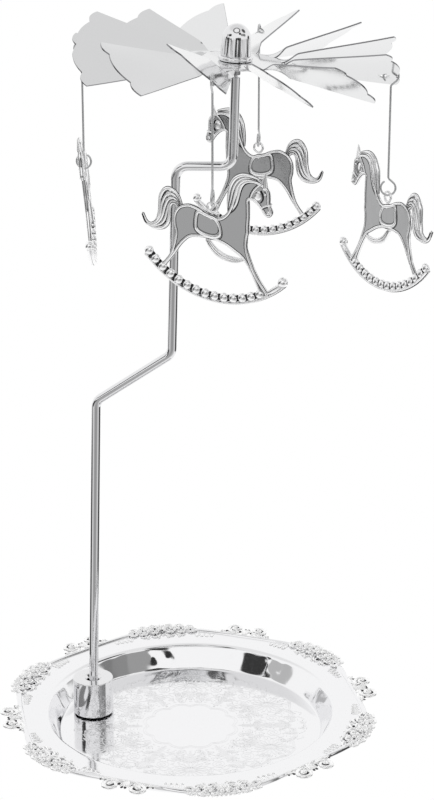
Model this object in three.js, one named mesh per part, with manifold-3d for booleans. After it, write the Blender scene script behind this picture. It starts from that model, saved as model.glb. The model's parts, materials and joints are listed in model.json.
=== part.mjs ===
// Rotating candle holder: a pressed plate for a tea light, a cranked post on a magnetic foot, and a
// bladed rotor on a needle point that carries four cast rocking horses on wire hooks.
// Millimetres, +Z up. The origin is the centre of the plate's flat underside.

import * as THREE from 'three';
import { mergeVertices } from 'three/addons/utils/BufferGeometryUtils.js';
import Module from 'manifold-3d';

const wasm = await Module();
wasm.setup();

// Clearances
const FLAT_GAP = 0.05; // flat faces that rest on each other
const SEAT_GAP = 0.3; // seats inside leaning groups, and cut seats
const WELD = 0.4; // how far the parts of one casting or pressing run into each other

// Plate: flat floor, sloping wall, wide flange with a waved and ornamented edge
const PLATE_SHEET = 1.0;
const FLOOR_RADIUS = 33.8;
const WALL_RUN = 3.9;
const RIM_HEIGHT = 7.1;
const FLANGE_WIDTH = 9.2;
const FLANGE_RISE = 0.4;
const EDGE_WAVE = 1.7;
const ORNAMENT_PAIRS = 6;
const FLOWER_AZIMUTH = -20;
const FLOWER_HALF_ANGLE = 11;
const FLOWER_REACH = 1.4;
const FLOWER_RELIEF = 1.3;
const SCROLL_HALF_ANGLE = 8.5;
const SCROLL_REACH = 4.6;
const SCROLL_RELIEF = 1.1;
const PLATE_SEGMENTS = 120;

// Foot of the post, held to the plate by a magnet in its base
const FOOT_AZIMUTH = 161.1;
const FOOT_TO_WALL = 0.6; // left clear between the foot and the edge of the floor
const FOOT_RADIUS = 5.4;
const FOOT_HEIGHT = 9.8;
const FOOT_BORE_DEPTH = 6.4;
const FOOT_MOUTH_RADIUS = 2.4;
const FOOT_EDGE = 0.35;
const MAGNET_RADIUS = 4.3;
const MAGNET_THICKNESS = 2.2;
const MAGNET_PROUD = 0.4;

// Post: a rod cranked twice towards the middle of the plate, leaning a little in its foot
const ROD_RADIUS = 1.2;
const POST_AZIMUTH = -13.5;
const POST_LEAN = 1.64;
const POST_PLAY = 0.4;
const LOWER_LENGTH = 84.9;
const SLANT_REACH = 19.8;
const SLANT_RISE = 14.6;
const MIDDLE_LENGTH = 48.4;
const JOG_REACH = 14.3;
const JOG_RISE = 1.0;
const UPPER_LENGTH = 21.9;
const BEND_RADIUS = 3.2;

// Needle in the top of the post
const NEEDLE_RADIUS = 0.45;
const NEEDLE_INSET = 5.0;
const NEEDLE_POINT = 1.6;

// Rotor: a flat disc with twisted blades whose ends have three lobes
const ROTOR_LEAN = 2.85; // towards +X
const ROTOR_NOD = 2.4; // towards -Y
const ROTOR_SHEET = 0.4;
const NECK_SHEET = 0.34; // the sheet draws thinner where it is twisted
const DISC_RADIUS = 11.4;
const BLADE_COUNT = 12;
const BLADE_AZIMUTH = -14.9;
const BLADE_HALF_ANGLE = 13.0;
const BLADE_LENGTH = 37.9;
const BLADE_TILT = 33.3;
const BLADE_RISE = 5.0;
const TWIST_LENGTH = 6.0;
const LOBE_DEPTH = 1.5;
const LOBE_SPLIT = 0.53; // half width of the middle lobe as a share of the blade's half width
// Each blade is bent by hand a little above or below the common rise, degrees
const HAND_BEND = [-1.0, 0.7, 0.6, 1.0, 1.1, -1.7, 1.0, -3.2, 0, 5.8, -0.2, -2.6];
const HOOK_BLADES = { right: 0, back: 3, left: 6, front: 9 };
const HOLE_RADIUS = 0.95;
const HOLE_INSETS = { right: 2.4, back: 1.9, left: 2.2, front: 1.9 }; // in from the blade's end
const HOLE_OFFSET = 4.2;
const HOLE_SHARES = { right: 1, back: 0.76, left: 1, front: 1 }; // of that offset, blade by blade

// Hub: dome cap above the disc, flanged bush below it
const DOME_RADIUS = 3.7;
const DOME_HEIGHT = 8.6;
const DOME_BRIM = 0.55;
const DOME_BRIM_HEIGHT = 0.9;
const DOME_WALL = 1.2;
const BUSH_RADIUS = 1.4;
const BUSH_DROP = 2.0;
const BUSH_FLANGE_RADIUS = 3.0;
const BUSH_FLANGE = 0.7;
const BUSH_RISE = 2.2;
const BUSH_PLAY = 0.55;
const BUSH_ABOVE_POST = 0.5;

// Wire hooks
const WIRE_RADIUS = 0.26;
const LOOP_RADIUS = 1.8;
const HOOK_DROP = 29.0; // centre of the upper loop down to the bottom of the lower loop
const HOOK_SHARES = { right: 1, back: 1.028, left: 1.017, front: 0.972 }; // of that drop, wire by wire
const LOOP_ABOVE_SHEET = 0.1;

// Rocking horses: flat castings, drawn nose to +X around the eye that the wire passes through
const HORSE_UNIT = 1.0; // length of one unit of the outlines below
const HORSE_THICKNESS = 1.2;
const HAIR_RELIEF = 0.2; // mane and tail stand this far proud of each face
const SADDLE_RELIEF = 0.15;
const STRAP_THICKNESS = 1.0;
const EYE_RADIUS = 1.25;
const EYE_WIRE = 0.32;
const ROCKER_CENTRE_X = 0.75;
const ROCKER_CENTRE_Z = 1.9;
const ROCKER_RADIUS = 25.3;
const ROCKER_START = -137.5;
const ROCKER_END = -41.6;
const RAIL_HEIGHT = 0.45;
const RAIL_WIDTH = 1.5;
const BEAD_RADIUS = 1.25;
const BEAD_FLATNESS = 0.64; // the beads' thickness as a share of their height
const BEAD_PITCH = 2.46;
const BALL_RADIUS = 1.25;
const BALL_NECK_RADIUS = 0.75;
// How each horse hangs: the way its nose points, nose up, and top out to its right side
const POSES = {
  right: { heading: 119.5, tilt: -3.6, lean: 1.6 },
  back: { heading: 152.5, tilt: -4.3, lean: 1.6 },
  left: { heading: 271.5, tilt: -4, lean: 5.4 },
  front: { heading: -29.8, tilt: -8.1, lean: 8.2 },
};

// Sizes that follow from the ones above
const WALL_TOP_RADIUS = FLOOR_RADIUS + WALL_RUN;
const EDGE_RADIUS = WALL_TOP_RADIUS + FLANGE_WIDTH;
const FOOT_REACH = FLOOR_RADIUS - FOOT_TO_WALL - FOOT_RADIUS;
const FOOT_BASE_Z = PLATE_SHEET + FLAT_GAP + MAGNET_PROUD;
const FOOT_TOP_Z = FOOT_BASE_Z + FOOT_HEIGHT;
const POST_BASE_Z = FOOT_TOP_Z - FOOT_BORE_DEPTH + SEAT_GAP;
const BUSH_BORE = NEEDLE_RADIUS + BUSH_PLAY;
const BUSH_NECK = BUSH_RADIUS + 2 * SEAT_GAP;
const HUB_SOCKET = BUSH_NECK + SEAT_GAP;
const BUSH_FLANGE_TOP = -ROTOR_SHEET / 2 - SEAT_GAP;
const BUSH_BASE = BUSH_FLANGE_TOP - BUSH_FLANGE - BUSH_DROP;
const DOME_BASE = ROTOR_SHEET / 2 + SEAT_GAP;
const DOME_TIP_SEAT = DOME_BASE + DOME_HEIGHT - DOME_WALL;
const NEEDLE_PROUD = DOME_TIP_SEAT - SEAT_GAP - BUSH_BASE + BUSH_ABOVE_POST;
const BLADE_ROOT = DISC_RADIUS - 2 * WELD;
const TWIST_END = DISC_RADIUS + TWIST_LENGTH;
const BEAD_CIRCLE = ROCKER_RADIUS - RAIL_HEIGHT - BEAD_RADIUS + WELD;
const EYE_SAG = EYE_RADIUS - EYE_WIRE - WIRE_RADIUS - SEAT_GAP;

const rad = THREE.MathUtils.degToRad;
const deg = THREE.MathUtils.radToDeg;

// Finishes
const finish = (color, roughness, metalness) => () =>
  new THREE.MeshStandardMaterial({ color, roughness, metalness });
const platedSilver = finish(0xe6e6e8, 0.16, 1.0);
const chrome = finish(0xc9cacc, 0.1, 1.0);
const satinSheet = finish(0xdcdde0, 0.25, 1.0);
const castSilver = finish(0xb4b6b9, 0.2, 1.0);
const wireSteel = finish(0x9a9b9e, 0.3, 1.0);
const magnetBlack = finish(0x1a1a1b, 0.6, 0.2);

// Closed bodies

function tidy(geometry) {
  const bare = geometry.index ? geometry.toNonIndexed() : geometry.clone();
  for (const name of Object.keys(bare.attributes)) {
    if (name !== 'position') bare.deleteAttribute(name);
  }
  return mergeVertices(bare, 1e-5);
}

function signedVolume(geometry) {
  const p = geometry.attributes.position;
  const index = geometry.index.array;
  const [a, b, c] = [new THREE.Vector3(), new THREE.Vector3(), new THREE.Vector3()];
  let sum = 0;
  for (let i = 0; i < index.length; i += 3) {
    a.fromBufferAttribute(p, index[i]);
    b.fromBufferAttribute(p, index[i + 1]);
    c.fromBufferAttribute(p, index[i + 2]);
    sum += a.dot(b.cross(c)) / 6;
  }
  return sum;
}

function closed(geometry) {
  const body = tidy(geometry);
  const kept = [];
  const index = body.index.array;
  for (let i = 0; i < index.length; i += 3) {
    const [a, b, c] = [index[i], index[i + 1], index[i + 2]];
    if (a !== b && b !== c && c !== a) kept.push(a, b, c);
  }
  body.setIndex(kept);
  if (signedVolume(body) < 0) {
    for (let i = 0; i < kept.length; i += 3) [kept[i], kept[i + 1]] = [kept[i + 1], kept[i]];
    body.setIndex(kept);
  }
  return body;
}

function toSolid(geometry) {
  const body = closed(geometry);
  const mesh = new wasm.Mesh({
    numProp: 3,
    vertProperties: new Float32Array(body.attributes.position.array),
    triVerts: new Uint32Array(body.index.array),
  });
  return new wasm.Manifold(mesh);
}

function toGeometry(solid) {
  const mesh = solid.getMesh();
  const geometry = new THREE.BufferGeometry();
  geometry.setAttribute('position', new THREE.BufferAttribute(new Float32Array(mesh.vertProperties), 3));
  geometry.setIndex(Array.from(mesh.triVerts));
  return geometry;
}

function join(geometries) {
  return toGeometry(geometries.map(toSolid).reduce((whole, piece) => whole.add(piece)));
}

function cut(geometry, tools) {
  return toGeometry(tools.map(toSolid).reduce((whole, tool) => whole.subtract(tool), toSolid(geometry)));
}

// Turned pieces: profile of [radius, height] pairs, closed on the axis or on itself
function turned(profile, segments) {
  const points = profile.map(([r, z]) => new THREE.Vector2(r, z));
  return new THREE.LatheGeometry(points, segments).rotateX(Math.PI / 2);
}

// A path that puts one ring of a swept rod at each of its stations
class StationPath extends THREE.Curve {
  constructor(stations) {
    super();
    this.stations = stations;
  }

  getPoint(t, target = new THREE.Vector3()) {
    const place = t * (this.stations.length - 1);
    const i = Math.min(Math.floor(place), this.stations.length - 2);
    return target.lerpVectors(this.stations[i], this.stations[i + 1], place - i);
  }

  getPointAt(u, target) {
    return this.getPoint(u, target);
  }

  getTangentAt(u, target = new THREE.Vector3()) {
    const last = this.stations.length - 1;
    const i = Math.round(u * last);
    const before = this.stations[Math.max(i - 1, 0)];
    const here = this.stations[i];
    const after = this.stations[Math.min(i + 1, last)];
    const into = here.clone().sub(before).normalize();
    const out = after.clone().sub(here).normalize();
    return target.copy(into).add(out).normalize();
  }
}

function rod(stations, radius, sides) {
  const section = new THREE.Shape();
  for (let i = 0; i < sides; i++) {
    const a = (2 * Math.PI * i) / sides;
    const [x, y] = [radius * Math.cos(a), radius * Math.sin(a)];
    if (i === 0) section.moveTo(x, y);
    else section.lineTo(x, y);
  }
  return new THREE.ExtrudeGeometry(section, {
    steps: stations.length - 1,
    bevelEnabled: false,
    extrudePath: new StationPath(stations),
  });
}

// Straight runs joined by round bends of one radius
function bentStations(corners, bendRadius, stepsPerBend) {
  const stations = [corners[0].clone()];
  for (let i = 1; i < corners.length - 1; i++) {
    const into = corners[i].clone().sub(corners[i - 1]).normalize();
    const out = corners[i + 1].clone().sub(corners[i]).normalize();
    const turn = into.angleTo(out);
    const setback = bendRadius * Math.tan(turn / 2);
    const start = corners[i].clone().addScaledVector(into, -setback);
    const toCentre = out.clone().sub(into).normalize();
    const centre = corners[i].clone().addScaledVector(toCentre, bendRadius / Math.cos(turn / 2));
    const axis = into.clone().cross(out).normalize();
    for (let k = 0; k <= stepsPerBend; k++) {
      const spoke = start.clone().sub(centre).applyAxisAngle(axis, (turn * k) / stepsPerBend);
      stations.push(centre.clone().add(spoke));
    }
  }
  stations.push(corners[corners.length - 1].clone());
  return stations;
}

// Plate

function plateProfile() {
  const rimTop = RIM_HEIGHT + FLANGE_RISE;
  const lip = PLATE_SHEET / 2;
  const top = [
    [0, PLATE_SHEET],
    [FLOOR_RADIUS - lip, PLATE_SHEET],
    [FLOOR_RADIUS + lip, PLATE_SHEET * 1.5],
    [WALL_TOP_RADIUS - lip, RIM_HEIGHT - lip],
    [WALL_TOP_RADIUS + lip, RIM_HEIGHT],
    [WALL_TOP_RADIUS + FLANGE_WIDTH * 0.35, RIM_HEIGHT + FLANGE_RISE * 0.3],
    [WALL_TOP_RADIUS + FLANGE_WIDTH * 0.68, RIM_HEIGHT + FLANGE_RISE * 0.7],
    [EDGE_RADIUS - lip, rimTop],
    [EDGE_RADIUS, rimTop - lip],
  ];
  const under = [
    [EDGE_RADIUS - lip, rimTop - PLATE_SHEET],
    [WALL_TOP_RADIUS + FLANGE_WIDTH * 0.5, RIM_HEIGHT + FLANGE_RISE * 0.5 - PLATE_SHEET],
    [WALL_TOP_RADIUS + PLATE_SHEET, RIM_HEIGHT - PLATE_SHEET],
    [FLOOR_RADIUS + PLATE_SHEET * 1.6, PLATE_SHEET * 0.7],
    [FLOOR_RADIUS + lip, 0],
    [0, 0],
  ];
  return [...top, ...under];
}

// Angle from the nearest of the evenly spaced ornaments, in degrees
function offsetFrom(azimuth, first) {
  const pitch = 360 / ORNAMENT_PAIRS;
  const turn = (azimuth - first) / pitch;
  return (turn - Math.round(turn)) * pitch;
}

// Wide flower clusters ride the crests of the edge's wave, and scroll pairs fill its hollows
function ornament(azimuth) {
  const flower = offsetFrom(azimuth, FLOWER_AZIMUTH);
  const scroll = offsetFrom(azimuth, FLOWER_AZIMUTH + 180 / ORNAMENT_PAIRS);
  const wave = EDGE_WAVE * Math.cos(rad(flower * ORNAMENT_PAIRS));
  const f = Math.abs(flower) / FLOWER_HALF_ANGLE;
  const s = Math.abs(scroll) / SCROLL_HALF_ANGLE;
  const petals = f < 1 ? Math.sqrt(1 - f * f) * (0.85 + 0.15 * Math.cos(3 * Math.PI * f)) : 0;
  const curls = s < 1 ? (1 - s ** 4) * (1 - 0.35 * Math.cos(Math.PI * s) ** 2) : 0;
  return {
    reach: wave + FLOWER_REACH * petals + SCROLL_REACH * curls,
    relief: FLOWER_RELIEF * petals + SCROLL_RELIEF * curls,
  };
}

function plate() {
  const geometry = turned(plateProfile(), PLATE_SEGMENTS);
  const p = geometry.attributes.position;
  for (let i = 0; i < p.count; i++) {
    const radius = Math.hypot(p.getX(i), p.getY(i));
    const share = (radius - WALL_TOP_RADIUS) / FLANGE_WIDTH;
    if (share > 0) {
      const { reach, relief } = ornament(deg(Math.atan2(p.getY(i), p.getX(i))));
      const stretch = (radius + reach * share * share) / radius;
      const raised = relief * THREE.MathUtils.smoothstep(share, 0.3, 0.85);
      p.setXYZ(i, p.getX(i) * stretch, p.getY(i) * stretch, p.getZ(i) + raised);
    }
  }
  return geometry;
}

// Foot and magnet

function postFoot() {
  const recess = MAGNET_RADIUS + SEAT_GAP;
  const recessTop = MAGNET_THICKNESS - MAGNET_PROUD + FLAT_GAP;
  const bore = ROD_RADIUS + POST_PLAY;
  const boreFloor = FOOT_HEIGHT - FOOT_BORE_DEPTH;
  const sink = FOOT_MOUTH_RADIUS - bore;
  return turned([
    [0, recessTop],
    [recess, recessTop],
    [recess, 0],
    [FOOT_RADIUS - FOOT_EDGE, 0],
    [FOOT_RADIUS, FOOT_EDGE],
    [FOOT_RADIUS, FOOT_HEIGHT - FOOT_EDGE],
    [FOOT_RADIUS - FOOT_EDGE, FOOT_HEIGHT],
    [FOOT_MOUTH_RADIUS, FOOT_HEIGHT],
    [bore, FOOT_HEIGHT - sink],
    [bore, boreFloor],
    [0, boreFloor],
  ], 32);
}

function footMagnet() {
  return turned([
    [0, 0],
    [MAGNET_RADIUS, 0],
    [MAGNET_RADIUS, MAGNET_THICKNESS],
    [0, MAGNET_THICKNESS],
  ], 24);
}

// Post and needle, drawn in the post's own upright frame with its reach along +X

const POST_CORNERS = [
  [0, 0],
  [0, LOWER_LENGTH],
  [SLANT_REACH, LOWER_LENGTH + SLANT_RISE],
  [SLANT_REACH, LOWER_LENGTH + SLANT_RISE + MIDDLE_LENGTH],
  [SLANT_REACH + JOG_REACH, LOWER_LENGTH + SLANT_RISE + MIDDLE_LENGTH + JOG_RISE],
  [SLANT_REACH + JOG_REACH, LOWER_LENGTH + SLANT_RISE + MIDDLE_LENGTH + JOG_RISE + UPPER_LENGTH],
].map(([x, z]) => new THREE.Vector3(x, 0, z));
const POST_TOP = POST_CORNERS[POST_CORNERS.length - 1];

function post() {
  const needleBore = new THREE.CylinderGeometry(
    NEEDLE_RADIUS + SEAT_GAP,
    NEEDLE_RADIUS + SEAT_GAP,
    2 * (NEEDLE_INSET + SEAT_GAP),
    12,
  ).rotateX(Math.PI / 2);
  needleBore.translate(POST_TOP.x, POST_TOP.y, POST_TOP.z);
  return cut(rod(bentStations(POST_CORNERS, BEND_RADIUS, 4), ROD_RADIUS, 12), [needleBore]);
}

function pivotNeedle() {
  return turned([
    [0, -NEEDLE_INSET],
    [NEEDLE_RADIUS, -NEEDLE_INSET],
    [NEEDLE_RADIUS, NEEDLE_PROUD - NEEDLE_POINT],
    [0, NEEDLE_PROUD],
  ], 16);
}

// Hub, drawn around the rotor's axis with the middle of the disc's sheet at height 0

function domeCap() {
  const brim = DOME_RADIUS + DOME_BRIM;
  const shoulder = DOME_BASE + DOME_HEIGHT - DOME_RADIUS;
  const profile = [
    [HUB_SOCKET, DOME_BASE],
    [brim - DOME_BRIM_HEIGHT / 3, DOME_BASE],
    [brim, DOME_BASE + DOME_BRIM_HEIGHT / 2],
    [brim - DOME_BRIM_HEIGHT / 3, DOME_BASE + DOME_BRIM_HEIGHT],
    [DOME_RADIUS, DOME_BASE + DOME_BRIM_HEIGHT],
  ];
  const steps = 6;
  for (let i = 0; i <= steps; i++) {
    const a = (Math.PI / 2) * (i / steps);
    const r = i === steps ? 0 : DOME_RADIUS * Math.cos(a);
    profile.push([r, shoulder + DOME_RADIUS * Math.sin(a)]);
  }
  profile.push([0, DOME_TIP_SEAT]);
  profile.push([HUB_SOCKET, DOME_TIP_SEAT - HUB_SOCKET]);
  profile.push([HUB_SOCKET, DOME_BASE]);
  return turned(profile, 24);
}

function hubBush() {
  const flangeBase = BUSH_FLANGE_TOP - BUSH_FLANGE;
  return turned([
    [BUSH_BORE, BUSH_BASE],
    [BUSH_RADIUS, BUSH_BASE],
    [BUSH_RADIUS, flangeBase],
    [BUSH_FLANGE_RADIUS, flangeBase],
    [BUSH_FLANGE_RADIUS, BUSH_FLANGE_TOP],
    [BUSH_NECK, BUSH_FLANGE_TOP],
    [BUSH_NECK, BUSH_RISE],
    [BUSH_BORE, BUSH_RISE],
    [BUSH_BORE, BUSH_BASE],
  ], 24);
}

// Rotor

const bladeHalfWidth = (radial) => radial * Math.tan(rad(BLADE_HALF_ANGLE));

const holeRadial = (side) => BLADE_LENGTH - HOLE_INSETS[side];
const holeOffset = (side) => HOLE_OFFSET * HOLE_SHARES[side];

function bladePlate(side) {
  const start = TWIST_END - WELD;
  const end = bladeHalfWidth(BLADE_LENGTH);
  const split = end * LOBE_SPLIT;
  const notch = BLADE_LENGTH + LOBE_DEPTH / 3;
  const outline = new THREE.Shape();
  const lobe = (fromY, fromX, toY, toX, depth) => {
    outline.quadraticCurveTo((fromX + toX) / 2 + 2 * depth, (fromY + toY) / 2, toX, toY);
  };
  outline.moveTo(start, -bladeHalfWidth(start));
  outline.lineTo(BLADE_LENGTH, -end);
  lobe(-end, BLADE_LENGTH, -split, notch, LOBE_DEPTH * 0.6);
  lobe(-split, notch, split, notch, LOBE_DEPTH);
  lobe(split, notch, end, BLADE_LENGTH, LOBE_DEPTH * 0.6);
  outline.lineTo(start, bladeHalfWidth(start));
  outline.closePath();
  if (side) {
    const hole = new THREE.Path();
    hole.absarc(holeRadial(side), holeOffset(side), HOLE_RADIUS, 0, 2 * Math.PI);
    outline.holes.push(hole);
  }
  const geometry = new THREE.ExtrudeGeometry(outline, {
    depth: ROTOR_SHEET,
    bevelEnabled: false,
    curveSegments: 4,
  });
  return geometry.translate(0, 0, -ROTOR_SHEET / 2).rotateX(-rad(BLADE_TILT));
}

// The neck between disc and blade: a box of sheet whose stations turn from flat to the blade's tilt
function bladeNeck() {
  const stations = 4;
  const geometry = new THREE.BoxGeometry(1, 1, NECK_SHEET, stations, 1, 1);
  const p = geometry.attributes.position;
  for (let i = 0; i < p.count; i++) {
    const along = p.getX(i) + 0.5;
    const radial = BLADE_ROOT + along * (TWIST_END - BLADE_ROOT);
    const turn = -rad(BLADE_TILT) * THREE.MathUtils.smoothstep(radial, DISC_RADIUS - WELD, TWIST_END - WELD);
    const across = p.getY(i) * 2 * bladeHalfWidth(radial);
    const up = p.getZ(i);
    p.setXYZ(
      i,
      radial,
      across * Math.cos(turn) - up * Math.sin(turn),
      across * Math.sin(turn) + up * Math.cos(turn),
    );
  }
  return geometry;
}

// Where blade number i stands on the rotor: lifted at its root, then turned to its azimuth
function bladeMatrix(i) {
  const rise = BLADE_RISE + HAND_BEND[i];
  const azimuth = BLADE_AZIMUTH + (360 / BLADE_COUNT) * i;
  return new THREE.Matrix4()
    .makeRotationZ(rad(azimuth))
    .multiply(new THREE.Matrix4().makeTranslation(BLADE_ROOT, 0, 0))
    .multiply(new THREE.Matrix4().makeRotationY(-rad(rise)))
    .multiply(new THREE.Matrix4().makeTranslation(-BLADE_ROOT, 0, 0));
}

function rotor() {
  const disc = turned([
    [HUB_SOCKET, -ROTOR_SHEET / 2],
    [DISC_RADIUS, -ROTOR_SHEET / 2],
    [DISC_RADIUS, ROTOR_SHEET / 2],
    [HUB_SOCKET, ROTOR_SHEET / 2],
    [HUB_SOCKET, -ROTOR_SHEET / 2],
  ], 36);
  const pieces = [disc];
  for (let i = 0; i < BLADE_COUNT; i++) {
    const side = Object.keys(HOOK_BLADES).find((name) => HOOK_BLADES[name] === i);
    pieces.push(bladeNeck().applyMatrix4(bladeMatrix(i)));
    pieces.push(bladePlate(side).applyMatrix4(bladeMatrix(i)));
  }
  return join(pieces);
}

// Wire hook, drawn around the centre of its upper loop. Both loops lie in the XZ plane, open towards -X.
function wireHook(drop) {
  const lowerCentre = -drop + LOOP_RADIUS;
  const leave = 55;
  const upperTip = 218;
  const lowerTip = 125;
  const steps = 10;
  const stations = [];
  const add = (x, z) => stations.push(new THREE.Vector3(x * LOOP_RADIUS, 0, z));
  for (let i = 0; i <= steps; i++) {
    const a = rad(lowerTip + ((360 + leave - lowerTip) * i) / steps);
    add(Math.cos(a), lowerCentre + LOOP_RADIUS * Math.sin(a));
  }
  add(0.1, lowerCentre + 1.22 * LOOP_RADIUS);
  add(0, lowerCentre + 1.45 * LOOP_RADIUS);
  add(0, -1.45 * LOOP_RADIUS);
  add(0.1, -1.22 * LOOP_RADIUS);
  for (let i = 0; i <= steps; i++) {
    const a = rad(-leave + ((upperTip + leave) * i) / steps);
    add(Math.cos(a), LOOP_RADIUS * Math.sin(a));
  }
  return rod(stations, WIRE_RADIUS, 6);
}

// Rocking horse

const onRocker = (angle, radius) => [
  ROCKER_CENTRE_X + radius * Math.cos(rad(angle)),
  ROCKER_CENTRE_Z + radius * Math.sin(rad(angle)),
];

// A flat casting in the XZ plane from a smooth closed outline through hand-set points
function flatCasting(points, thickness, samplesPerPoint = 2) {
  const marks = points.map(([x, z]) => new THREE.Vector3(x * HORSE_UNIT, z * HORSE_UNIT, 0));
  const curve = new THREE.CatmullRomCurve3(marks, true);
  const outline = curve.getPoints(points.length * samplesPerPoint).slice(0, -1);
  const shape = new THREE.Shape(outline.map((q) => new THREE.Vector2(q.x, q.y)));
  const geometry = new THREE.ExtrudeGeometry(shape, { depth: thickness, bevelEnabled: false });
  return geometry.translate(0, 0, -thickness / 2).rotateX(Math.PI / 2);
}

function horseBody() {
  const foot = ROCKER_RADIUS - RAIL_HEIGHT + RAIL_HEIGHT / 3;
  const onRail = (angle) => onRocker(angle, foot).map((v) => v / HORSE_UNIT);
  return flatCasting([
    [-9.8, -4.4], [-8.2, -1.5], [-5.8, -0.6], [-2.8, -1.1], [0.3, -2.1], [3.0, -1.2], [4.6, 1.2],
    [5.4, 4.6], [7.2, 8.2], [9.9, 9.2], [12.6, 8.8], [14.3, 6.9], [14.4, 4.3], [15.1, 2.2],
    [13.9, 0.9], [12.5, 2.4], [10.7, 4.0], [9.2, 3.3], [9.5, -0.2], [9.7, -4.1], [9.6, -7.5],
    [10.6, -10.2], onRail(-52.4), onRail(-56.4), [10.7, -13.4], [8.2, -10.3],
    [4.4, -8.5], [-0.8, -7.8], [-5.1, -8.8], [-7.7, -11.9], onRail(-121.6),
    onRail(-124.6), [-9.8, -12.4], [-9.2, -8.4],
  ], HORSE_THICKNESS);
}

function horseMane() {
  return flatCasting([
    [4.0, -0.4], [3.5, 2.6], [3.8, 6.0], [5.6, 9.1], [8.2, 10.2], [11.2, 9.8], [10.8, 8.6],
    [7.3, 7.8], [6.4, 5.6], [6.5, 2.2], [5.3, -0.1],
  ], HORSE_THICKNESS + 2 * HAIR_RELIEF);
}

function horseTail() {
  return flatCasting([
    [-8.2, -1.6], [-9.0, 0.6], [-11.3, 1.8], [-13.8, -0.3], [-14.0, -4.1], [-14.4, -7.2],
    [-16.1, -8.1], [-17.2, -6.8], [-18.0, -6.2], [-17.5, -8.4], [-14.8, -9.7], [-11.6, -8.5],
    [-9.5, -6.0],
  ], HORSE_THICKNESS + 2 * HAIR_RELIEF);
}

function horseEar() {
  return flatCasting([[12.0, 8.0], [12.3, 9.8], [13.0, 11.4], [13.7, 9.9], [13.6, 8.0]], HORSE_THICKNESS);
}

function horseSaddle() {
  return flatCasting([
    [-4.0, -1.4], [-4.6, -4.7], [-3.4, -7.4], [0.1, -8.1], [2.9, -6.8], [2.4, -4.1], [1.4, -2.2],
    [-1.2, -2.0],
  ], HORSE_THICKNESS + 2 * SADDLE_RELIEF);
}

function horseStrap() {
  return flatCasting([
    [-1.0, -7.5], [0.2, -10.1], [2.9, -11.9], [6.2, -12.1], [9.2, -11.0], [8.7, -10.1], [5.8, -10.8],
    [2.8, -10.2], [0.4, -8.0],
  ], STRAP_THICKNESS);
}

function horseEye() {
  const neckTop = -EYE_RADIUS;
  const neckBase = -2.6 * EYE_RADIUS;
  const ring = new THREE.TorusGeometry(EYE_RADIUS, EYE_WIRE, 5, 12).rotateX(Math.PI / 2);
  const neck = new THREE.BoxGeometry(2 * EYE_WIRE, 1.5 * EYE_WIRE, neckTop - neckBase);
  neck.translate(0, 0, (neckTop + neckBase) / 2);
  return [ring, neck];
}

function horseRocker() {
  const rail = new THREE.Shape();
  rail.absarc(ROCKER_CENTRE_X, ROCKER_CENTRE_Z, ROCKER_RADIUS, rad(ROCKER_START), rad(ROCKER_END), false);
  const inner = ROCKER_RADIUS - RAIL_HEIGHT;
  rail.absarc(ROCKER_CENTRE_X, ROCKER_CENTRE_Z, inner, rad(ROCKER_END), rad(ROCKER_START), true);
  const band = new THREE.ExtrudeGeometry(rail, { depth: RAIL_WIDTH, bevelEnabled: false, curveSegments: 7 });
  const pieces = [band.translate(0, 0, -RAIL_WIDTH / 2).rotateX(Math.PI / 2)];
  const beadArc = rad(ROCKER_END - ROCKER_START) * BEAD_CIRCLE - 2 * BEAD_RADIUS;
  const count = Math.floor(beadArc / BEAD_PITCH);
  const pitch = deg(BEAD_PITCH / BEAD_CIRCLE);
  const first = ROCKER_START + deg(BEAD_RADIUS / BEAD_CIRCLE);
  for (let i = 0; i < count; i++) {
    const [x, z] = onRocker(first + pitch * i, BEAD_CIRCLE);
    const bead = new THREE.SphereGeometry(BEAD_RADIUS, 5, 3).rotateX(Math.PI / 2);
    pieces.push(bead.scale(1, BEAD_FLATNESS, 1).translate(x, 0, z));
  }
  const lastBead = first + pitch * (count - 1);
  const ends = [[(lastBead + ROCKER_END) / 2, BALL_NECK_RADIUS], [ROCKER_END, BALL_RADIUS]];
  for (const [angle, radius] of ends) {
    const [x, z] = onRocker(angle, inner - radius + WELD);
    pieces.push(new THREE.SphereGeometry(radius, 6, 4).translate(x, 0, z));
  }
  return pieces;
}

function rockingHorse() {
  return join([
    horseBody(), horseMane(), horseTail(), horseEar(), horseSaddle(), horseStrap(), ...horseEye(),
    ...horseRocker(),
  ]);
}

// Assembly

function piece(name, geometry, material) {
  const body = closed(geometry);
  body.computeVertexNormals();
  const mesh = new THREE.Mesh(body, material());
  mesh.name = name;
  return mesh;
}

const holder = new THREE.Group();
holder.name = 'rotating_candle_holder';
holder.add(piece('plate', plate(), platedSilver));

const standing = new THREE.Group();
standing.position.set(FOOT_REACH * Math.cos(rad(FOOT_AZIMUTH)), FOOT_REACH * Math.sin(rad(FOOT_AZIMUTH)), 0);
const magnet = piece('foot_magnet', footMagnet(), magnetBlack);
magnet.position.z = PLATE_SHEET + FLAT_GAP;
const foot = piece('post_foot', postFoot(), chrome);
foot.position.z = FOOT_BASE_Z;
standing.add(magnet, foot);
holder.add(standing);

// The post leans in its foot, within the plane of its cranks
const leaning = new THREE.Group();
leaning.position.set(0, 0, POST_BASE_Z);
leaning.rotation.set(0, rad(POST_LEAN), rad(POST_AZIMUTH), 'ZYX');
const needle = piece('pivot_needle', pivotNeedle(), wireSteel);
needle.position.copy(POST_TOP);
leaning.add(piece('post', post(), chrome), needle);
standing.add(leaning);
holder.updateMatrixWorld(true);

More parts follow.
